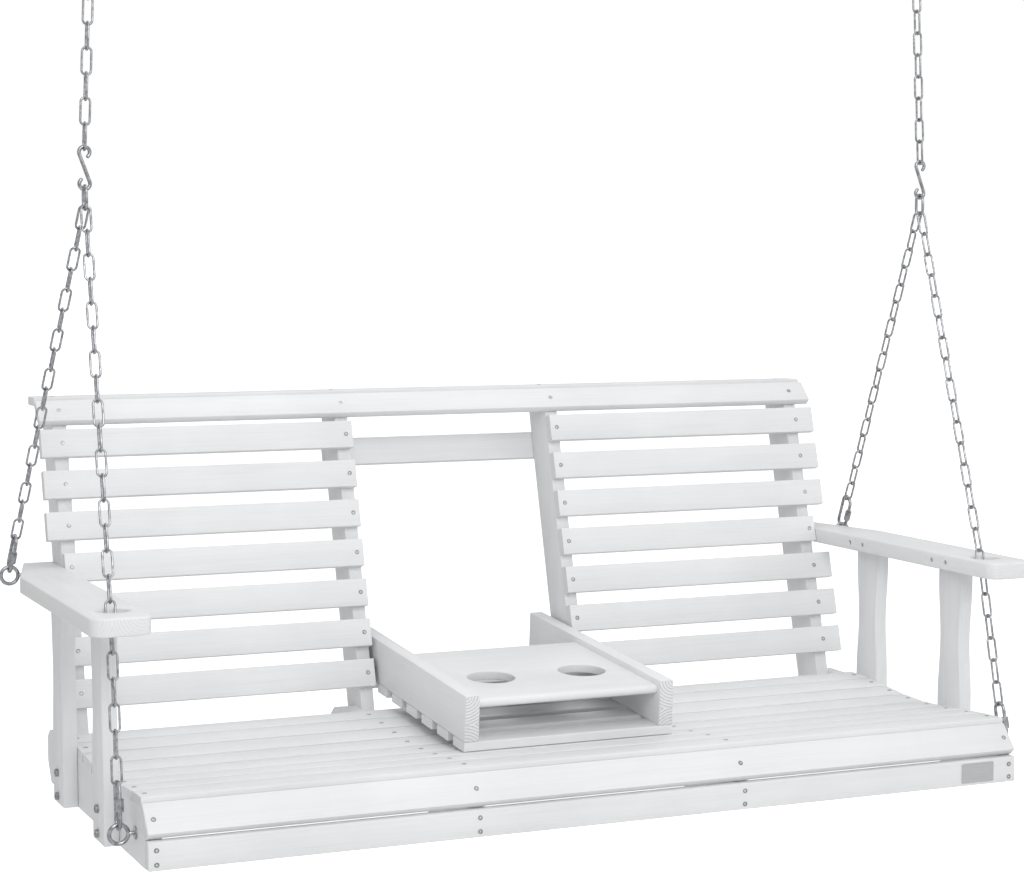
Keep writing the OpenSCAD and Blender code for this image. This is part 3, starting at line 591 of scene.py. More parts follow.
class Repeater(NodeWork):
    """A geometry node tree that sets one small shape on every point of a mesh."""

    def __init__(self, name: str, *sizes: str) -> None:
        """Starts the tree with its named size inputs, in metres."""
        super().__init__(bpy.data.node_groups.new(name, "GeometryNodeTree"))
        face = self.tree.interface
        face.new_socket("Points", in_out="INPUT", socket_type="NodeSocketGeometry")
        kinds = {size: "NodeSocketFloat" for size in sizes} | {"Finish": "NodeSocketMaterial"}
        self.keys = {
            key: face.new_socket(key, in_out="INPUT", socket_type=kind).identifier
            for key, kind in kinds.items()
        }
        face.new_socket("Pieces", in_out="OUTPUT", socket_type="NodeSocketGeometry")
        self.source = self.add("NodeGroupInput")

    def size(self, name: str) -> Socket:
        """The output socket of a named input."""
        return self.source.outputs[name]

    def rounded(self, width: str, height: str, radius: str, count: int) -> Socket:
        """A rectangle with round corners, from the names of its sizes."""
        feeds = {"Width": self.size(width), "Height": self.size(height)}
        box = self.add("GeometryNodeCurvePrimitiveQuadrilateral", feeds)
        feeds = {"Curve": box.outputs["Curve"], "Count": count, "Radius": self.size(radius)}
        return self.add("GeometryNodeFilletCurve", feeds, mode="POLY").outputs["Curve"]

    def sweep(self, curve: Socket, section: Socket, caps: bool) -> Socket:
        """A section drawn along a curve."""
        feeds = {"Curve": curve, "Profile Curve": section, "Fill Caps": caps}
        return self.add("GeometryNodeCurveToMesh", feeds).outputs["Mesh"]

    def spread(self, shape: Socket) -> "Repeater":
        """Sets a shape on every point, turned and stretched as the point says, and dresses it."""
        named = "GeometryNodeInputNamedAttribute"
        turn = self.add(named, {"Name": "turn"}, data_type="FLOAT_VECTOR").outputs["Attribute"]
        reach = self.add(named, {"Name": "reach"}, data_type="FLOAT").outputs["Attribute"]
        angle = self.add("FunctionNodeEulerToRotation", {"Euler": turn})
        scale = self.add("ShaderNodeCombineXYZ", {"X": reach, "Y": 1.0, "Z": 1.0})
        feeds = {
            "Points": self.size("Points"),
            "Instance": shape,
            "Rotation": angle.outputs["Rotation"],
            "Scale": scale.outputs["Vector"],
        }
        placed = self.add("GeometryNodeInstanceOnPoints", feeds).outputs["Instances"]
        real = self.add("GeometryNodeRealizeInstances", {"Geometry": placed}).outputs["Geometry"]
        dressed = self.add("GeometryNodeSetMaterial", {"Geometry": real, "Material": self.size("Finish")})
        self.add("NodeGroupOutput", {"Pieces": dressed.outputs["Geometry"]})
        return self

    def lay(
        self,
        name: str,
        spots: Sequence[Spot],
        finish: Material,
        sizes: dict[str, float],
        smooth: float = SMOOTH_BELOW,
    ) -> Piece:
        """Runs the tree over a list of places.

        Args:
            name: Name of the piece.
            spots: Where each copy goes.
            finish: Its material.
            sizes: Millimetres for each named size.
            smooth: Edges sharper than this stay sharp, in degrees.

        Returns:
            A plain mesh object.
        """
        data = bpy.data.meshes.new(name + "_points")
        data.from_pydata([spot.place for spot in spots], [], [])
        data.attributes.new("turn", "FLOAT_VECTOR", "POINT")
        data.attributes.new("reach", "FLOAT", "POINT")
        for index, spot in enumerate(spots):
            data.attributes["turn"].data[index].vector = Vector(spot.turn.to_euler("XYZ"))
            data.attributes["reach"].data[index].value = spot.reach
        made = link_in(name, data)
        modifier = made.modifiers.new("repeat", "NODES")
        modifier.node_group = self.tree
        for size, value in sizes.items():
            modifier[self.keys[size]] = value * MM
        modifier[self.keys["Finish"]] = finish
        result = keep_result(made)
        bpy.data.meshes.remove(data)
        for stray in ("turn", "reach"):
            if stray in result.attributes:
                result.attributes.remove(result.attributes[stray])
        shaped = bmesh.new()
        shaped.from_mesh(result)
        bmesh.ops.remove_doubles(shaped, verts=shaped.verts, dist=1e-7)
        bmesh.ops.recalc_face_normals(shaped, faces=shaped.faces)
        shaped.to_mesh(result)
        shaped.free()
        smooth_faces(result, smooth)
        return made


def board_tree() -> Repeater:
    """The tree that lays slats: a rounded section drawn along X, one metre long before its reach."""
    tree = Repeater("lay_slats", "Width", "Thickness", "Ease")
    ends = {"Start": (-0.5, 0.0, 0.0), "End": (0.5, 0.0, 0.0)}
    line = tree.add("GeometryNodeCurvePrimitiveLine", ends).outputs["Curve"]
    return tree.spread(tree.sweep(line, tree.rounded("Width", "Thickness", "Ease", 3), True))


def link_tree() -> Repeater:
    """The tree that threads chain: one oval link lying in its own XY plane, long along Y."""
    tree = Repeater("thread_links", "Link width", "Link length", "Bow", "Wire")
    feeds = {"Resolution": 12, "Radius": tree.size("Wire")}
    section = tree.add("GeometryNodeCurvePrimitiveCircle", feeds).outputs["Curve"]
    oval = tree.rounded("Link width", "Link length", "Bow", 7)
    return tree.spread(tree.sweep(oval, section, False))


def screw_tree() -> Repeater:
    """The tree that drives screws: a low round head with a cross cut in its face, facing +Z."""
    tree = Repeater("drive_screws", "Head", "Height", "Slot", "Slot width")
    feeds = {"Vertices": 24, "Radius": tree.size("Head"), "Depth": tree.size("Height")}
    head = tree.add("GeometryNodeMeshCylinder", feeds, fill_type="NGON").outputs["Mesh"]
    carved = tree.add("GeometryNodeMeshBoolean", {"Mesh 1": head}, operation="DIFFERENCE")
    lift = tree.add("ShaderNodeCombineXYZ", {"Z": tree.math("MULTIPLY", tree.size("Height"), 0.45)})
    for long, wide in (("Slot", "Slot width"), ("Slot width", "Slot")):
        box = {"X": tree.size(long), "Y": tree.size(wide), "Z": tree.size("Height")}
        size = tree.add("ShaderNodeCombineXYZ", box).outputs["Vector"]
        blade = tree.add("GeometryNodeMeshCube", {"Size": size}).outputs["Mesh"]
        feeds = {"Geometry": blade, "Translation": lift.outputs["Vector"]}
        tree.feed(carved, "Mesh 2", tree.add("GeometryNodeTransform", feeds).outputs["Geometry"])
    return tree.spread(carved.outputs["Mesh"])


# --- The bench's sizes ---------------------------------------------------------------------------


@dataclass(frozen=True)
class Sizes:
    """The sizes shared by the sub-assemblies, in millimetres and degrees."""

    half_len: float = 760.0
    frame_t: float = 25.0
    slat_t: float = 15.0
    seat_front: float = 38.0
    seat_pitch: float = 62.6
    seat_slat_w: float = 57.0
    seat_count: int = 8
    seat_h: float = 103.0
    seat_dip: float = 13.0
    lean: float = 15.0
    back_foot: float = 533.3
    back_start: float = 144.3
    back_pitch: float = 71.8
    back_slat_w: float = 48.7
    back_slat_t: float = 18.0
    back_count: int = 7
    post_d: float = 74.5
    gap_w: float = 392.0
    rail_w: float = 47.0
    rail_gap: float = 15.4
    rail_n: float = 2.0
    rail_angle: float = 45.0
    arm_z: float = 343.0
    arm_t: float = 28.0
    eye_setback: float = 141.8

    @property
    def support_x(self) -> list[float]:
        """Places of the seat supports on X."""
        outer, inner = self.half_len - self.frame_t / 2, self.gap_w / 2 + 1.5 * self.frame_t
        return [-outer, -inner, inner, outer]

    @property
    def post_x(self) -> list[float]:
        """Places of the back posts on X."""
        outer, inner = self.half_len - 1.5 * self.frame_t, self.gap_w / 2 + self.frame_t / 2
        return [-outer, -inner, inner, outer]

    @property
    def seat_rear(self) -> float:
        """Rear edge of the last seat slat."""
        return self.seat_front + (self.seat_count - 1) * self.seat_pitch + self.seat_slat_w

    @property
    def rear_eye_y(self) -> float:
        """Place of the rear eye bolts."""
        return self.seat_rear + self.eye_setback

    @property
    def arm_mid(self) -> float:
        """Height of the middle of an arm's thickness."""
        return self.arm_z + self.arm_t / 2

    @property
    def post_rear_n(self) -> float:
        """Depth of the back at the posts' rear edges."""
        return self.back_slat_t + self.post_d

    @property
    def rail_s(self) -> float:
        """Place of the rail's lower edge up the back."""
        return self.slat_s(self.back_count - 1) + self.back_slat_w + self.rail_gap

    def slat_s(self, index: int) -> float:
        """Place of a back slat's lower edge up the back."""
        return self.back_start + index * self.back_pitch

    def back(self, s: float, n: float) -> Point:
        """Y and Z of a place up the back and behind its face."""
        c, d = math.cos(math.radians(self.lean)), math.sin(math.radians(self.lean))
        return self.back_foot + s * d + n * c, s * c - n * d

    def on_slat(self, index: int) -> Matrix:
        """The frame of a seat slat in the dipped seat, zero in the middle of its top face."""
        y = self.seat_front + self.seat_slat_w / 2 + index * self.seat_pitch
        depth = self.seat_rear - self.seat_front
        phase = 2 * math.pi * (y - self.seat_front) / depth
        z = self.seat_h - self.seat_dip / 2 * (1 - math.cos(phase))
        slope = math.atan(-self.seat_dip * math.pi / depth * math.sin(phase))
        return lying(y, z, math.degrees(slope))

    def on_back(self, s: float, n: float) -> Matrix:
        """The frame of the back: Y goes in behind the face, Z up along it."""
        return lying(*self.back(s, n), -self.lean)

    def on_rail(self) -> Matrix:
        """The frame of the top rail: Y up its face, Z out of its face."""
        return lying(*self.back(self.rail_s, self.rail_n), self.rail_angle)

    def rail_inside(self, v: float) -> Point:
        """Y and Z of a place up the rail's inner face."""
        y, z = self.back(self.rail_s, self.rail_n)
        c, d = math.cos(math.radians(self.rail_angle)), math.sin(math.radians(self.rail_angle))
        return y + v * c + self.slat_t * d, z + v * d - self.slat_t * c

    def post_edge(self, n: float, z: float) -> float:
        """Y of a post's edge at a height."""
        a = math.radians(self.lean)
        return self.back_foot + z * math.tan(a) + n / math.cos(a)


@dataclass(frozen=True)
class Kit:
    """What every sub-assembly is given: the sizes, the finishes and the node trees."""

    sizes: Sizes
    finishes: Finishes
    boards: Repeater
    links: Repeater
    screws: Repeater


def hand_over(made: Piece, body: str, slot: str, *nodes: str) -> Piece:
    """Rides a piece on its body and hides the CAD nodes that it stands for.

    Args:
        made: The piece.
        body: The body that it moves with.
        slot: Not used.
        *nodes: The CAD nodes that it replaces.

    Returns:
        The piece.
    """
    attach(made, body)
    if nodes:
        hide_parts(*nodes)
    log.info("%s: %d faces on %s", made.name, len(made.data.polygons), body)
    return made


def repaint(node: str, material: Material) -> None:
    """Gives a carried-over CAD node its finish."""
    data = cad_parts[node].data
    data.materials.clear()
    data.materials.append(material)
    log.info("%s: carried over", node)


# --- Sub-assemblies ------------------------------------------------------------------------------

UPRIGHTS = ("left_outer", "left_inner", "right_inner", "right_outer")


@dataclass
class Assembly:
    """A part of the swing that is built on its own."""

    kit: Kit

    def board(self, name: str, mesh: Mesh, grain: Grain, node: str, smooth: float = SMOOTH_BELOW) -> Piece:
        """Settles a painted board of the bench.

        Args:
            name: Its name.
            mesh: Its mesh, in metres.
            grain: How its grain runs.
            node: The CAD node that it replaces.
            smooth: Edges sharper than this stay sharp, in degrees.

        Returns:
            The board.
        """
        made = settle(name, mesh, self.kit.finishes.wood[grain], smooth)
        return hand_over(made, "bench", "painted_wood", node)

    def slats(
        self, name: str, spots: Sequence[Spot], section: tuple[float, float, float], body: str, *nodes: str
    ) -> Piece:
        """Lays a field of painted slats.

        Args:
            name: Its name.
            spots: Where each slat goes.
            section: Width, thickness and eased edge of a slat.
            body: The body that it moves with.
            *nodes: The CAD nodes that it replaces.

        Returns:
            The slats.
        """
        sizes = dict(zip(("Width", "Thickness", "Ease"), section))
        made = self.kit.boards.lay(name, spots, self.kit.finishes.wood[Grain.ACROSS], sizes)
        return hand_over(made, body, "painted_wood", *nodes)


@dataclass
class Seat(Assembly):
    """The apron, the slanted front slat and the dipped row of seat slats.

    Attributes:
        apron_t: Thickness of the apron.
        apron_h: Height of the apron.
        front_w: Width of the front slat.
        front_z: Height of the front slat's lower edge.
        front_angle: Slant of the front slat.
        slat_ease: Radius of the slats' edges.
    """

    apron_t: float = 18.0
    apron_h: float = 44.0
    front_w: float = 53.0
    front_z: float = 55.5
    front_angle: float = 49.0
    slat_ease: float = 1.2

    def build(self) -> None:
        """Builds every board of the seat; the contoured supports are right as they are."""
        s = self.kit.sizes
        mesh = slab((-s.half_len, 0, 0), (s.half_len, self.apron_t, self.apron_h), 2.0)
        self.board("apron", to_row(mesh), Grain.ACROSS, "apron_board")
        self.front_slat()
        spots = []
        for index in range(s.seat_count):
            at = s.on_slat(index)
            spots.append(Spot(at @ Vector((0, 0, -s.slat_t / 2)), turn_of(at), 2 * s.half_len * MM))
        nodes = [f"seat_slat_{k + 1}" for k in range(s.seat_count)]
        self.slats("seat_slats", spots, (s.seat_slat_w, s.slat_t, self.slat_ease), "bench", *nodes)
        for name in UPRIGHTS:
            repaint("seat_support_" + name, self.kit.finishes.wood[Grain.DEPTH])

    def front_slat(self) -> None:
        """The slat that rounds the front edge, trimmed upright where it meets the seat."""
        s = self.kit.sizes
        a = math.radians(self.front_angle)
        trim = s.seat_front - 1
        inner = (s.slat_t * math.sin(a), self.front_z - s.slat_t * math.cos(a))
        tip_v = min(self.front_w, trim / math.cos(a))
        tip = (tip_v * math.cos(a), self.front_z + tip_v * math.sin(a))
        outline = [
            (0.0, self.front_z),
            tip,
            (trim, tip[1] - max(0.0, trim - tip[0])),
            (trim, inner[1] + (trim - inner[0]) * math.tan(a)),
            inner,
        ]
        mesh = side_board(outline, -s.half_len, s.half_len)
        self.board("front_slat", to_row(mesh), Grain.ACROSS, "front_slat")


@dataclass
class Back(Assembly):
    """The leaning back: posts, two fields of slats, the slanted rail, its cap and the stop bar.

    Attributes:
        short_slat: Which slat stops beside the arm, from the bottom.
        foot_z: Height of the posts' lower ends.
        cap_w: Depth of the cap.
        bar_w: Height of the stop bar.
        bar_drop: Distance from the rail down to the stop bar.
        ease: Radius of the boards' edges.
        slat_ease: Radius of the slats' edges.
    """

    short_slat: int = 3
    foot_z: float = 4.0
    cap_w: float = 47.0
    bar_w: float = 50.0
    bar_drop: float = 30.0
    ease: float = 2.0
    slat_ease: float = 1.5

    def build(self) -> None:
        """Builds the back."""
        s = self.kit.sizes
        self.posts()
        for side in Side:
            self.slat_field(side)
        mesh = slab((-s.half_len, 0, -s.slat_t), (s.half_len, s.rail_w, 0), self.ease)
        mesh.transform(s.on_rail())
        self.board("slanted_rail", mesh, Grain.ACROSS, "top_rail")
        y, z = s.rail_inside(s.rail_w)
        low, high = (-s.half_len, y + 0.5, z), (s.half_len, y + 0.5 + self.cap_w, z + s.slat_t)
        self.board("level_cap", to_row(slab(low, high, self.ease)), Grain.ACROSS, "rail_cap")
        half = s.gap_w / 2 + s.frame_t
        mesh = slab((-half, 0, 0), (half, s.back_slat_t, self.bar_w), self.ease)
        mesh.transform(s.on_back(s.rail_s - self.bar_drop - self.bar_w, s.post_rear_n))
        self.board("stop_board", mesh, Grain.ACROSS, "stop_bar")

    def posts(self) -> None:
        """The four posts, cut at a slant under the rail."""
        s = self.kit.sizes
        a, r = math.radians(s.lean), math.radians(s.rail_angle)
        foot, front, high = s.rail_inside(0), s.back(0, s.back_slat_t), s.rail_inside(s.rail_w)
        run = (foot[1] - front[1]) * math.tan(a) - (foot[0] - front[0])
        low = s.rail_inside(run / (math.cos(r) - math.sin(r) * math.tan(a)))
        outline = [
            (s.post_edge(s.back_slat_t, self.foot_z), self.foot_z),
            low,
            high,
            (s.post_edge(s.post_rear_n, high[1]), high[1]),
            (s.post_edge(s.post_rear_n, self.foot_z), self.foot_z),
        ]
        for name, x in zip(UPRIGHTS, s.post_x):
            mesh = side_board(outline, x - s.frame_t / 2, x + s.frame_t / 2, self.ease)
            self.board(f"back_post_{name}_board", to_row(mesh), Grain.UPRIGHT, "back_post_" + name)

    def slat_field(self, side: Side) -> None:
        """The separate slats of one half, the one beside the arm cut short."""
        s = self.kit.sizes
        inner = s.gap_w / 2
        spots = []
        for index in range(s.back_count):
            out = s.half_len - s.frame_t - 1 if index == self.short_slat else s.half_len
            at = s.on_back(s.slat_s(index), 0)
            middle = at @ Vector((side.value * (inner + out) / 2, s.back_slat_t / 2, s.back_slat_w / 2))
            turn = turn_of(at) @ Matrix.Rotation(QUARTER, 3, "X")
            spots.append(Spot(middle, turn, (out - inner) * MM))
        name = "back_slats_" + side.word
        section = (s.back_slat_w, s.back_slat_t, self.slat_ease)
        self.slats(name + "_field", spots, section, "bench", name)


@dataclass
class Arms(Assembly):
    """Both arm boards with the waisted posts that carry them.

    Attributes:
        inner: Distance of an arm's inner edge from the middle.
        width: Width of an arm.
        front: Its front end.
        corner: Radius of its front corners.
        taper: How much narrower its rear end is.
        taper_len: Over what length it tapers.
        flat: Depth of the flat that seats the rear eye's washer.
        hole: Radius of the hole for the chain.
        hole_x: Distance of that hole from the inner edge.
        hole_y: Place of that hole.
        screw_shift: Distance of an arm screw from its post's middle.
        post_y: Places of the front and the rear post.
        post_w: Width of a post at its ends.
        waist: How far a post is waisted on each side.
        waist_from: Where the waist starts.
        waist_to: Where it ends.
        ease: Radius of an arm's edges.
    """

    inner: float = 735.0
    width: float = 94.0
    front: float = 42.0
    corner: float = 24.0
    taper: float = 42.0
    taper_len: float = 175.0
    flat: float = 4.0
    hole: float = 25.0
    hole_x: float = 43.0
    hole_y: float = 124.0
    screw_shift: float = 22.0
    post_y: tuple[float, float] = (205.0, 481.5)
    post_w: float = 72.0
    waist: float = 6.5
    waist_from: float = 110.0
    waist_to: float = 320.0
    ease: float = 3.0

    @property
    def out(self) -> float:
        """Distance of an arm's outer edge from the middle."""
        return self.inner + self.width

    @property
    def rear(self) -> float:
        """Rear end of an arm."""
        s = self.kit.sizes
        return s.post_edge(s.post_rear_n, s.arm_z) + 2

    @property
    def rear_seat(self) -> float:
        """Distance from the middle to the flat that seats a rear eye's washer."""
        share = (self.kit.sizes.rear_eye_y - self.rear + self.taper_len) / self.taper_len
        return self.out - self.taper * share - self.flat

    def build(self) -> None:
        """Builds both sides."""
        for side in Side:
            self.arm(side)
            for name, y in zip(("front", "rear"), self.post_y):
                self.post(side, name, y)
        repaint("post_plugs", self.kit.finishes.wood[Grain.DEPTH])
        for node in ("arm_post_bolts", "arm_post_nuts", "arm_screws"):
            repaint(node, self.kit.finishes.steel)

    def arm(self, side: Side) -> None:
        """One arm board: rounded in front, tapered behind, bored for the chain, screws and eye."""
        s, x, out, r = self.kit.sizes, self.inner, self.out, self.corner
        corner_y = self.front + r
        outline = (
            [(x, self.rear)]
            + arc((x + r, corner_y), r, 180, 270, 8)
            + arc((out - r, corner_y), r, 270, 360, 8)
            + [(out, self.rear - self.taper_len), (out - self.taper, self.rear)]
        )
        mesh = prism(outline, s.arm_z, s.arm_z + s.arm_t, 0)
        mesh.transform(Matrix.Scale(side.value, 4, ACROSS_X))
        name = "arm_" + side.word
        made = settle(name + "_board", to_row(mesh), self.kit.finishes.wood[Grain.DEPTH])
        chain = row(side.value * (x + self.hole_x), self.hole_y, s.arm_mid)
        cut(made, [Hole(chain, Vector((0, 0, 1)), self.hole * MM, 0.1)])
        round_over(made, self.ease)
        eye = row(side.value * (self.rear_seat + 30), s.rear_eye_y, s.arm_mid)
        holes = [Hole(eye, ACROSS_X, 0.011, 0.06)]
        for y in self.post_y:
            for shift in (-self.screw_shift, self.screw_shift):
                holes.append(Hole(row(side.value * (x + 2), y + shift, s.arm_mid), ACROSS_X, 0.0045, 0.02))
        cut(made, holes)
        smooth_faces(made.data)
        hand_over(made, "bench", "painted_wood", name)

    def half_width(self, z: float) -> float:
        """Half of a post's width at a height of its waist."""
        share = (z - self.waist_from) / (self.waist_to - self.waist_from)
        return self.post_w / 2 - self.waist / 2 * (1 - math.cos(2 * math.pi * share))

    def post(self, side: Side, name: str, y: float) -> None:
        """One waisted post, standing on the outside of the outer support."""
        s = self.kit.sizes
        heights = [self.waist_from + k * (self.waist_to - self.waist_from) / 20 for k in range(21)]
        right = [(y + self.half_width(z), z) for z in heights]
        left = [(y - self.half_width(z), z) for z in reversed(heights)]
        half = self.post_w / 2
        top = [(y + half, s.arm_z), (y - half, s.arm_z)]
        outline = [(y - half, 0), (y + half, 0)] + right + top + left
        low, high = sorted((side.value * s.half_len, side.value * (s.half_len + s.frame_t)))
        node = f"arm_post_{name}_{side.word}"
        mesh = to_row(side_board(outline, low, high, 2.5))
        self.board(node + "_board", mesh, Grain.UPRIGHT, node, 40)


@dataclass
class Console(Assembly):
    """The folding centre console: two sides, a table plate with cup holes and slats beneath.

    Attributes:
        out: Half of its width.
        side_t: Thickness of a side.
        front: Length in front of the pivot.
        tail: Length behind it.
        low: Lowest edge of a side, from the pivot.
        high: Its highest edge.
        slat_t: Thickness of its slats.
        plate_t: Thickness of the plate.
        plate_drop: How far the plate lies below the sides.
        plate_set: How far it lies behind their front ends.
        plate_len: Depth of the plate.
        cup_r: Radius of a cup hole.
        cup_span: Distance between the cup holes.
        cup_set: Distance of the cup holes from the front ends.
        tilt: How far it rises to the rear when it is down.
    """

    out: float = 189.3
    side_t: float = 26.0
    front: float = 445.557
    tail: float = 99.0
    low: float = -22.5
    high: float = 55.0
    slat_t: float = 15.5
    plate_t: float = 15.0
    plate_drop: float = 9.6
    plate_set: float = 9.0
    plate_len: float = 328.0
    cup_r: float = 41.0
    cup_span: float = 168.6
    cup_set: float = 143.0
    tilt: float = 4.21417

    @property
    def frame(self) -> Matrix:
        """The console's frame: zero on the pivot, Y to the rear."""
        return lying(*self.kit.sizes.back(182.5, 37.0), self.tilt)

    @property
    def plate_mid(self) -> float:
        """Height of the middle of the plate."""
        return self.high - self.plate_drop - self.plate_t / 2

    @property
    def slat_y(self) -> list[float]:
        """Places of the slats' middles."""
        s = self.kit.sizes
        return [-self.front + k * s.back_pitch + s.back_slat_w / 2 for k in range(s.back_count)]

    def build(self) -> None:
        """Builds the console."""
        s = self.kit.sizes
        for side in Side:
            low, high = sorted((side.value * (self.out - self.side_t), side.value * self.out))
            mesh = slab((low, -self.front, self.low), (high, self.tail, self.high), 2.2)
            mesh.transform(self.frame)
            name = "console_side_" + side.word
            made = settle(name + "_board", mesh, self.kit.finishes.open_end)
            hand_over(made, "console", "painted_wood", name)
        self.plate()
        turn = turn_of(self.frame)
        z = self.low - self.slat_t / 2
        spots = [Spot(self.frame @ Vector((0, y, z)), turn, 2 * self.out * MM) for y in self.slat_y]
        section = (s.back_slat_w, self.slat_t, 1.5)
        self.slats("console_slat_row", spots, section, "console", "console_slats")
        for node in ("pivot_bolts", "pivot_nuts"):
            repaint(node, self.kit.finishes.steel)
        repaint("pivot_spacers", self.kit.finishes.zinc)

    def plate(self) -> None:
        """The table plate, round in front, with two cup holes whose rims are eased."""
        inner = self.out - self.side_t - 0.2
        start, half = -self.front + self.plate_set, self.plate_t / 2
        rear = start + self.plate_len
        nose = arc((start + half, self.plate_mid), half, 90, 270, 10)
        outline = nose + [(rear, self.plate_mid - half), (rear, self.plate_mid + half)]
        mesh = side_board(outline, -inner, inner, 0)
        mesh.transform(self.frame)
        made = settle("table_plate_board", mesh, self.kit.finishes.wood[Grain.ACROSS])
        up = (turn_of(self.frame) @ Vector((0, 0, 1))).normalized()
        cups = [Vector((k * self.cup_span / 2, -self.front + self.cup_set, self.plate_mid)) for k in (-1, 1)]
        cut(made, [Hole(self.frame @ cup, up, self.cup_r * MM, 0.06) for cup in cups])
        round_over(made, 1.6)
        smooth_faces(made.data)
        hand_over(made, "console", "painted_wood", "table_plate")


@dataclass
class Screws(Assembly):
    """Every visible wood screw.

    Attributes:
        head: Radius of a head.
        height: Height of the visible head.
        proud: How far a head stands out of the board.
        slot: Length of the cross's arms.
        slot_w: Width of the cross's arms.
    """

    head: float = 4.0
    height: float = 1.2
    proud: float = 0.25
    slot: float = 4.6
    slot_w: float = 1.1

    def build(self) -> None:
        """Drives the screws into the bench and the console."""
        steel, paint = self.kit.finishes.steel, self.kit.finishes.wood[Grain.DEPTH]
        made = self.drive("bench_screws", self.bench_spots(), steel)
        hand_over(made, "bench", "screw_steel", "frame_screws")
        made = self.drive("console_screw_heads", self.slat_spots(), steel)
        hand_over(made, "console", "screw_steel", "console_screws")
        made = self.drive("painted_screw_heads", self.plate_spots(), paint)
        hand_over(made, "console", "painted_wood")

    def drive(self, name: str, spots: Sequence[Spot], finish: Material) -> Piece:
        """Lays a set of screw heads."""
        sizes = {"Head": self.head, "Height": self.height, "Slot": self.slot, "Slot width": self.slot_w}
        return self.kit.screws.lay(name, spots, finish, sizes)

    def spot(self, at: Matrix, point: Sequence[float], out: Sequence[float], spin: float) -> Spot:
        """A screw whose head faces a direction.

        Args:
            at: The board's frame.
            point: Where the head sits, in the board's millimetres.
            out: The way it faces, in the board's frame.
            spin: How far its cross is turned, in radians.

        Returns:
            The screw's place.
        """
        facing = (turn_of(at) @ Vector(out)).normalized()
        turn = facing.to_track_quat("Z", "Y").to_matrix() @ Matrix.Rotation(spin, 3, "Z")
        lift = (self.proud - self.height / 2) * MM
        return Spot(at @ Vector(point) + facing * lift, turn)

    def bench_spots(self) -> list[Spot]:
        """Places of the screws in the seat, the back, the rail, the cap and the stop bar."""
        s, seat = self.kit.sizes, Seat(self.kit)
        spots = []
        forward, backward, up = (0, -1, 0), (0, 1, 0), (0, 0, 1)
        level = lying(0, 0, 0)
        front = lying(0, seat.front_z, seat.front_angle)
        cap_y, cap_z = s.rail_inside(s.rail_w)
        for x in s.support_x:
            for z in (9.3, 31.0):
                spots.append(self.spot(level, (x, 0, z), forward, x + z))
            spots.append(self.spot(front, (x, 0.46 * seat.front_w, 0), up, 1.3 * x))
            for index in range(s.seat_count):
                spots.append(self.spot(s.on_slat(index), (x, 0, 0), up, x + 1.7 * index))
        for x in s.post_x:
            for index in range(s.back_count):
                at = s.on_back(s.slat_s(index) + s.back_slat_w / 2, 0)
                spots.append(self.spot(at, (x, 0, 0), forward, x + 2.3 * index))
            spots.append(self.spot(s.on_rail(), (x, s.rail_w / 2, 0), up, x))
            spots.append(self.spot(level, (x, cap_y + 26.3, cap_z + s.slat_t), up, 0.7 * x))
        bar = s.on_back(s.rail_s - 55, s.post_rear_n + s.back_slat_t)
        return spots + [self.spot(bar, (x, 0, 0), backward, x) for x in s.post_x[1:3]]

    def slat_spots(self) -> list[Spot]:
        """Places of the screws under the console's slats."""
        box = Console(self.kit)
        x, z = box.out - box.side_t / 2, box.low - box.slat_t
        return [
            self.spot(box.frame, (side.value * x, y, z), (0, 0, -1), index)
            for side in Side
            for index, y in enumerate(box.slat_y)
        ]

    def plate_spots(self) -> list[Spot]:
        """Places of the painted screws that hold the table plate between the sides."""
        box = Console(self.kit)
        start = -box.front + box.plate_set
        spots = []
        for side in Side:
            for share in (0.15, 0.5, 0.85):
                at = (side.value * box.out, start + share * box.plate_len, box.plate_mid)
                spots.append(self.spot(box.frame, at, (side.value, 0, 0), 3 * share))
        return spots


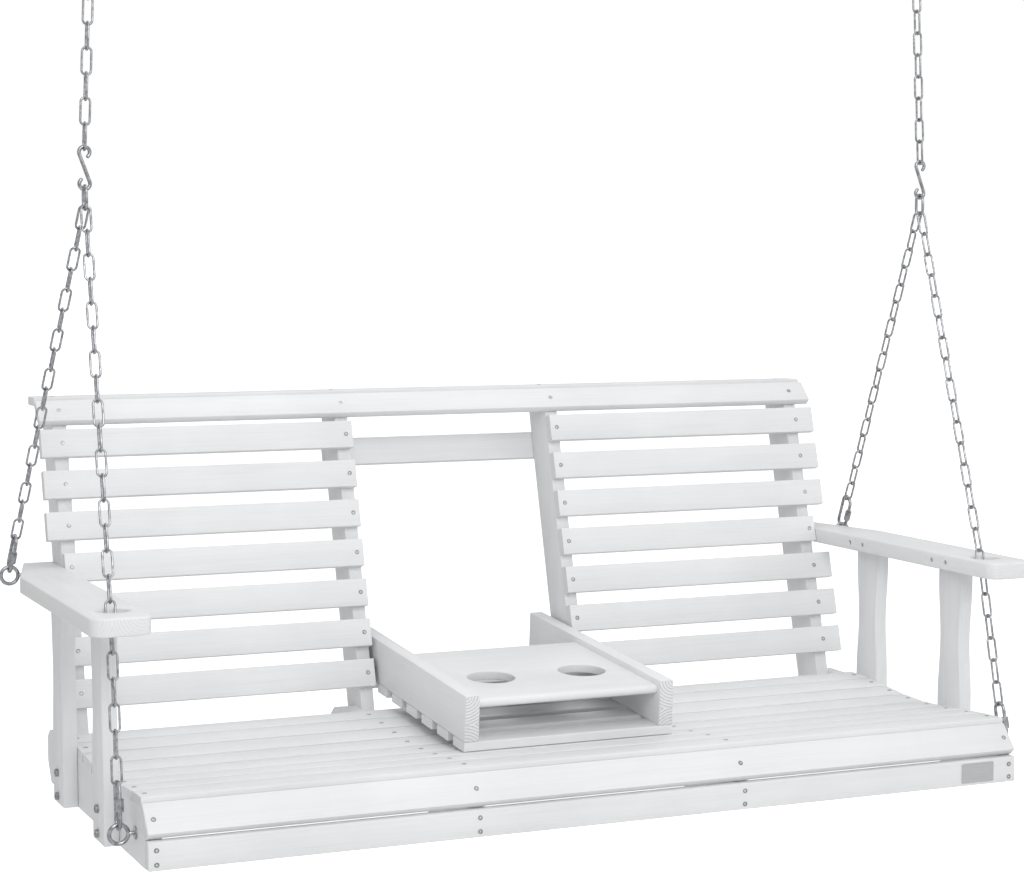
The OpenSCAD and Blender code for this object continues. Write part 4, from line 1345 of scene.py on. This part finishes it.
@dataclass
class Hanging(Assembly):
    """Chains, S-hooks, joining links, quick links and eye bolts.

    Attributes:
        wire_d: Wire of a chain link.
        link_r: Radius of a chain link's bows.
        loose: Play between two links.
        hook_d: Wire of the S-hooks and quick links.
        joint_h: Height of the joining links' lower bows.
        joint_len: Distance between a joining link's bows.
        joint_d: Wire of a joining link.
        joint_r: Radius of its bows.
        s_r: Radius of an S-hook's loops.
        s_half: Half the distance between their centres.
        s_tip: Where an S-hook's loop ends, in degrees.
        split: Half the distance between the strands in a joining link.
        quick_r: Radius of a quick link's bows.
        quick_len: Distance between its bows.
        eye_r: Radius of an eye bolt's ring.
        eye_d: Its wire.
        eye_neck: Length of an eye bolt between its ring and its washer's seat.
        beam_d: Wire of the ceiling hooks.
    """

    wire_d: float = 3.8
    link_r: float = 7.4
    loose: float = 0.3
    hook_d: float = 6.0
    joint_h: float = 972.0
    joint_len: float = 37.0
    joint_d: float = 5.0
    joint_r: float = 10.5
    s_r: float = 8.5
    s_half: float = 24.5
    s_tip: float = -50.0
    split: float = 3.0
    quick_r: float = 12.5
    quick_len: float = 70.0
    eye_r: float = 14.5
    eye_d: float = 6.5
    eye_neck: float = 11.5
    beam_d: float = 8.0

    def __post_init__(self) -> None:
        """Works out where the eyes, the hooks and the arm's hole are."""
        s, arms = self.kit.sizes, Arms(self.kit)
        self.joint_x = s.half_len + 4
        self.hang_x = s.half_len - 10
        self.s_low = self.joint_h + self.joint_len - self.joint_d / 2 - self.hook_d / 2 - self.loose
        self.s_top = self.s_low + 2 * (self.s_half + self.s_r)
        out = self.eye_r + self.eye_neck
        self.eyes = {
            End.FRONT: Vector((s.half_len + out, 72.0, 43.0)),
            End.REAR: Vector((arms.rear_seat + out, s.rear_eye_y, s.arm_mid)),
        }
        self.grips = {End.FRONT: s.frame_t, End.REAR: arms.rear_seat - arms.inner + s.frame_t}
        hole_y = arms.hole_y + arms.hole - self.link_r - self.wire_d / 2 - 6
        self.hole = Vector((arms.inner + arms.hole_x, hole_y, s.arm_mid))

    def strand_top(self, end: End) -> Vector:
        """Where a lower strand's last bow lies in the joining link."""
        split = -self.split if end is End.FRONT else self.split
        drop = self.joint_r - self.joint_d / 2 - self.wire_d / 2 - self.loose
        z = self.joint_h + self.joint_r - math.sqrt(drop * drop - split * split)
        return Vector((self.joint_x, HANG_Y + split, z))

    def eye_top(self, end: End) -> Vector:
        """The wire at the top of an eye's ring, which a quick link hangs under."""
        return self.eyes[end] + Vector((0, 0, self.eye_r))

    def pull(self, end: End) -> Vector:
        """The direction in which a strand pulls on its eye."""
        aim = self.hole if end is End.FRONT else self.strand_top(end)
        return (aim - self.eye_top(end)).normalized()

    def quick_low(self, end: End) -> Vector:
        """Centre of the wire of a quick link's lower bow."""
        return self.eye_top(end) - self.pull(end) * (self.eye_d / 2 + self.hook_d / 2 + self.loose)

    def strand_low(self, end: End) -> Vector:
        """Centre of the wire of a strand's first bow."""
        up = self.quick_len - self.hook_d / 2 - self.wire_d / 2 - self.loose / 2
        return self.quick_low(end) + self.pull(end) * up

    @staticmethod
    def mirrored(point: Vector, side: Side) -> Vector:
        """A point on one side of the swing."""
        return Vector((side.value * point.x, point.y, point.z))

    @staticmethod
    def along(direction: Vector) -> Matrix:
        """A turn that takes Z along a direction and leaves X as level as it was."""
        d = direction.normalized()
        return Matrix.Rotation(math.atan2(d.x, d.z), 3, "Y") @ Matrix.Rotation(-math.asin(d.y), 3, "X")

    def build(self) -> None:
        """Builds everything that the bench hangs on."""
        for side in Side:
            self.upper_strand(side)
            for end in End:
                self.lower_strand(side, end)
                repaint(f"sleeve_{end.value}_{side.word}", self.kit.finishes.zinc)
        self.hooks()
        self.joining_links()
        self.quick_links()
        self.eye_bolts()
        for node in ("ceiling_hooks", "eye_washers", "eye_nuts"):
            repaint(node, self.kit.finishes.zinc)

    def strand(self, path: Sequence[Vector], count: int, first: int, body: str, node: str) -> None:
        """Threads one strand of links.

        Args:
            path: The two or three points that it runs between, in bench millimetres.
            count: Number of links.
            first: 0 if its first link lies across, 1 if it lies fore and aft.
            body: The body that it rides on.
            node: The CAD node that it replaces.
        """
        runs = [(b - a).length for a, b in zip(path, path[1:])]
        reach = sum(runs) - self.wire_d - self.loose

        def at(distance: float) -> Vector:
            """A point of the path."""
            leg = 0 if len(runs) == 1 or distance <= runs[0] else 1
            ahead = (path[leg + 1] - path[leg]).normalized()
            return path[leg] + ahead * (distance - sum(runs[:leg]))

        spots = []
        longest = 0.0
        for index in range(count):
            low, high = at(index * reach / count), at((index + 1) * reach / count)
            lead = (high - low).normalized()
            span = (high - low).length + self.wire_d + self.loose
            longest = max(longest, span)
            quarter = Matrix.Rotation((index + first) % 2 * QUARTER, 3, "Z")
            turn = self.along(lead) @ quarter @ Matrix.Rotation(QUARTER, 3, "X")
            spots.append(Spot(row(*(low + lead * span / 2)), turn))
        sizes = {
            "Link width": 2 * self.link_r,
            "Link length": longest,
            "Bow": self.link_r - 0.02,
            "Wire": self.wire_d / 2,
        }
        made = self.kit.links.lay(node + "_links", spots, self.kit.finishes.zinc, sizes, 80)
        hand_over(made, body, "zinc", node)

    def upper_strand(self, side: Side) -> None:
        """The chain from an S-hook up to its ceiling hook."""
        gap = self.wire_d / 2 + self.loose
        low = Vector((side.value * self.joint_x, HANG_Y, self.s_top - self.hook_d / 2 - gap))
        high = Vector((side.value * self.hang_x, HANG_Y, HANG_H + self.beam_d / 2 + gap))
        self.strand([low, high], 9, 1, "upper_chains", "upper_chain_" + side.word)

    def lower_strand(self, side: Side, end: End) -> None:
        """The chain from a quick link up to the joining link, in front through the arm."""
        middle = [self.hole] if end is End.FRONT else []
        path = [self.strand_low(end), *middle, self.strand_top(end)]
        count = 23 if end is End.FRONT else 17
        mirrored = [self.mirrored(point, side) for point in path]
        self.strand(mirrored, count, 0, "bench", f"chain_{end.value}_{side.word}")

    def forge(self, name: str, parts: Sequence[Mesh], body: str, node: str) -> None:
        """Settles a set of bent wires that were drawn in bench millimetres."""
        made = settle(name, to_row(join(parts)), self.kit.finishes.zinc, 60)
        hand_over(made, body, "zinc", node)

    def oval(self, centre: Vector, turn: Matrix, length: float, radius: float, thick: float) -> Mesh:
        """A closed oval of wire in its own XZ plane, in bench millimetres."""
        half = length / 2 - radius
        ring = arc((0, half), radius, 0, 180, 12) + arc((0, -half), radius, 180, 360, 12)
        return wire([centre + turn @ Vector((x, 0, z)) for x, z in ring], thick / 2, True)

    def hooks(self) -> None:
        """Two S-hooks, their ends round."""
        slant = math.degrees(math.asin(self.s_r / self.s_half))
        half = arc((0, self.s_half), self.s_r, self.s_tip, 180 + slant, 22)
        bends = half + [(-x, -z) for x, z in reversed(half)]
        parts = []
        for side in Side:
            centre = Vector((side.value * self.joint_x, HANG_Y, (self.s_low + self.s_top) / 2))
            parts.append(wire([centre + Vector((x, 0, z)) for x, z in bends], self.hook_d / 2, False))
        self.forge("s_hook_pair", parts, "upper_chains", "s_hooks")

    def joining_links(self) -> None:
        """The links in which both lower strands meet."""
        turn = Matrix.Rotation(QUARTER, 3, "Z")
        parts = []
        for side in Side:
            centre = Vector((side.value * self.joint_x, HANG_Y, self.joint_h + self.joint_len / 2))
            parts.append(self.oval(centre, turn, self.joint_len, self.joint_r, self.joint_d))
        self.forge("joining_link_pair", parts, "bench", "joining_links")

    def quick_links(self) -> None:
        """The four quick links, whose sleeves move by themselves."""
        parts = []
        for side in Side:
            for end in End:
                middle = self.mirrored(self.quick_low(end) + self.pull(end) * self.quick_len / 2, side)
                turn = self.along(self.mirrored(self.pull(end), side)) @ Matrix.Rotation(QUARTER, 3, "Z")
                parts.append(self.oval(middle, turn, self.quick_len, self.quick_r, self.hook_d))
        self.forge("quick_link_set", parts, "bench", "quick_links")

    def eye_bolts(self) -> None:
        """The four eye bolts: a ring and a shank that runs through to its nut."""
        ring = arc((0, 0), self.eye_r, 0, 345, 23)
        parts = []
        for side in Side:
            for end in End:
                eye = self.mirrored(self.eyes[end], side)
                parts.append(wire([eye + Vector((x, 0, z)) for x, z in ring], self.eye_d / 2, True))
                root = eye - ACROSS_X * (side.value * self.eye_r)
                tail = root - ACROSS_X * (side.value * (self.eye_neck + self.grips[end] + 8))
                shank = [root.lerp(tail, k / 6) for k in range(7)]
                parts.append(wire(shank, self.eye_d / 2, False))
        self.forge("eye_bolt_set", parts, "bench", "eye_bolts")


@dataclass
class ApronPlate(Assembly):
    """The small blank plate on the apron.

    Attributes:
        width: Its width.
        height: Its height.
        corner: Radius of its corners.
        middle: Its place on X.
    """

    width: float = 64.0
    height: float = 34.0
    corner: float = 3.0
    middle: float = 684.0

    def build(self) -> None:
        """Builds the plate with round corners."""
        x, z, r = self.width / 2 - self.corner, self.height / 2 - self.corner, self.corner
        outline = []
        for centre, start in (((x, z), 0), ((-x, z), 90), ((-x, -z), 180), ((x, -z), 270)):
            outline += arc(centre, r, start, start + 90, 5)
        mesh = prism(outline, 0.0, 1.0, 0.25, 1)
        stand = Matrix.Translation((self.middle, 0, Seat(self.kit).apron_h / 2))
        mesh.transform(stand @ Matrix.Rotation(QUARTER, 4, "X"))
        made = settle("apron_plate", to_row(mesh), self.kit.finishes.plate)
        hand_over(made, "bench", "plate", "blank_plate")


@dataclass
class Studio:
    """The floor, the lights and the camera.

    Attributes:
        floor_z: Height of the floor under the swing.
        lens: Focal length on a 36 mm sensor.
        eye: The camera's place, in bench millimetres.
        pitch: How far the camera is raised from looking straight down.
        yaw: How far it is turned from the swing's front.
        sky: Strength of the even light from all round.
    """

    floor_z: float = -420.0
    lens: float = 83.67
    eye: tuple[float, float, float] = (-1629.6, -3356.1, 907.1)
    pitch: float = 85.55
    yaw: float = -23.36
    sky: float = 0.68

    def build(self, finishes: Finishes) -> None:
        """Sets up the studio."""
        self.floor(finishes.floor)
        self.light_all_round()
        self.lamps()
        self.camera()
        bpy.context.scene.view_settings.view_transform = "Standard"

    def floor(self, finish: Material) -> None:
        """A wide floor that turns up gently far behind."""
        far, bend = 9000.0, 3000.0
        profile = [(-far, self.floor_z), (far, self.floor_z)]
        profile += arc((far, self.floor_z + bend), bend, 270, 330, 12)
        mesh = bmesh.new()
        rails = [[mesh.verts.new((x, y, z)) for y, z in profile] for x in (-11000, 11000)]
        for k in range(len(profile) - 1):
            mesh.faces.new((rails[0][k], rails[1][k], rails[1][k + 1], rails[0][k + 1]))
        made = settle("studio_floor", to_row(mesh), finish, 60)

    def light_all_round(self) -> None:
        """An even white sky, brighter to the camera than to the swing."""
        world = bpy.data.worlds.new("studio")
        world.use_nodes = True
        work = NodeWork(world.node_tree)
        sky = world.node_tree.nodes["Background"]
        work.feed(sky, "Color", (1.0, 1.0, 1.0, 1.0))
        rays = work.add("ShaderNodeLightPath").outputs["Is Camera Ray"]
        seen = work.add("ShaderNodeMapRange", {"Value": rays, "To Min": self.sky, "To Max": 1.0})
        work.feed(sky, "Strength", seen.outputs["Result"])
        bpy.context.scene.world = world

    def lamps(self) -> None:
        """A broad key light, a weaker fill and one from above."""
        target = row(0, 300, 250)
        for name, place, size, power in (
            ("key", (-900, -3400, 2700), 2.2, 66.0),
            ("fill", (3600, -2400, 1900), 2.6, 18.0),
            ("top", (300, 900, 4200), 2.6, 34.0),
        ):
            data = bpy.data.lights.new(name, "AREA")
            data.size = size
            data.energy = power
            lamp = link_in(name, data)
            lamp.location = row(*place)
            lamp.rotation_euler = (target - lamp.location).to_track_quat("-Z", "Y").to_euler()

    def camera(self) -> None:
        """The camera, without shift or depth of field."""
        data = bpy.data.cameras.new("camera")
        data.lens = self.lens
        data.sensor_width = 36.0
        data.clip_start = 0.05
        data.clip_end = 60.0
        made = link_in("camera", data)
        made.location = row(*self.eye)
        made.rotation_euler = (math.radians(self.pitch), 0.0, math.radians(self.yaw))
        bpy.context.scene.camera = made


def main() -> None:
    """Builds the swing, part by part, and then the studio."""
    logging.basicConfig(level=logging.INFO, format="%(message)s")
    finishes = Finishes()
    kit = Kit(Sizes(), finishes, board_tree(), link_tree(), screw_tree())
    for part in (Seat, Back, Arms, Console, Screws, Hanging, ApronPlate):
        log.info("-- %s", part.__name__)
        part(kit).build()
    Studio().build(finishes)


if __name__ == "__main__":
    main()
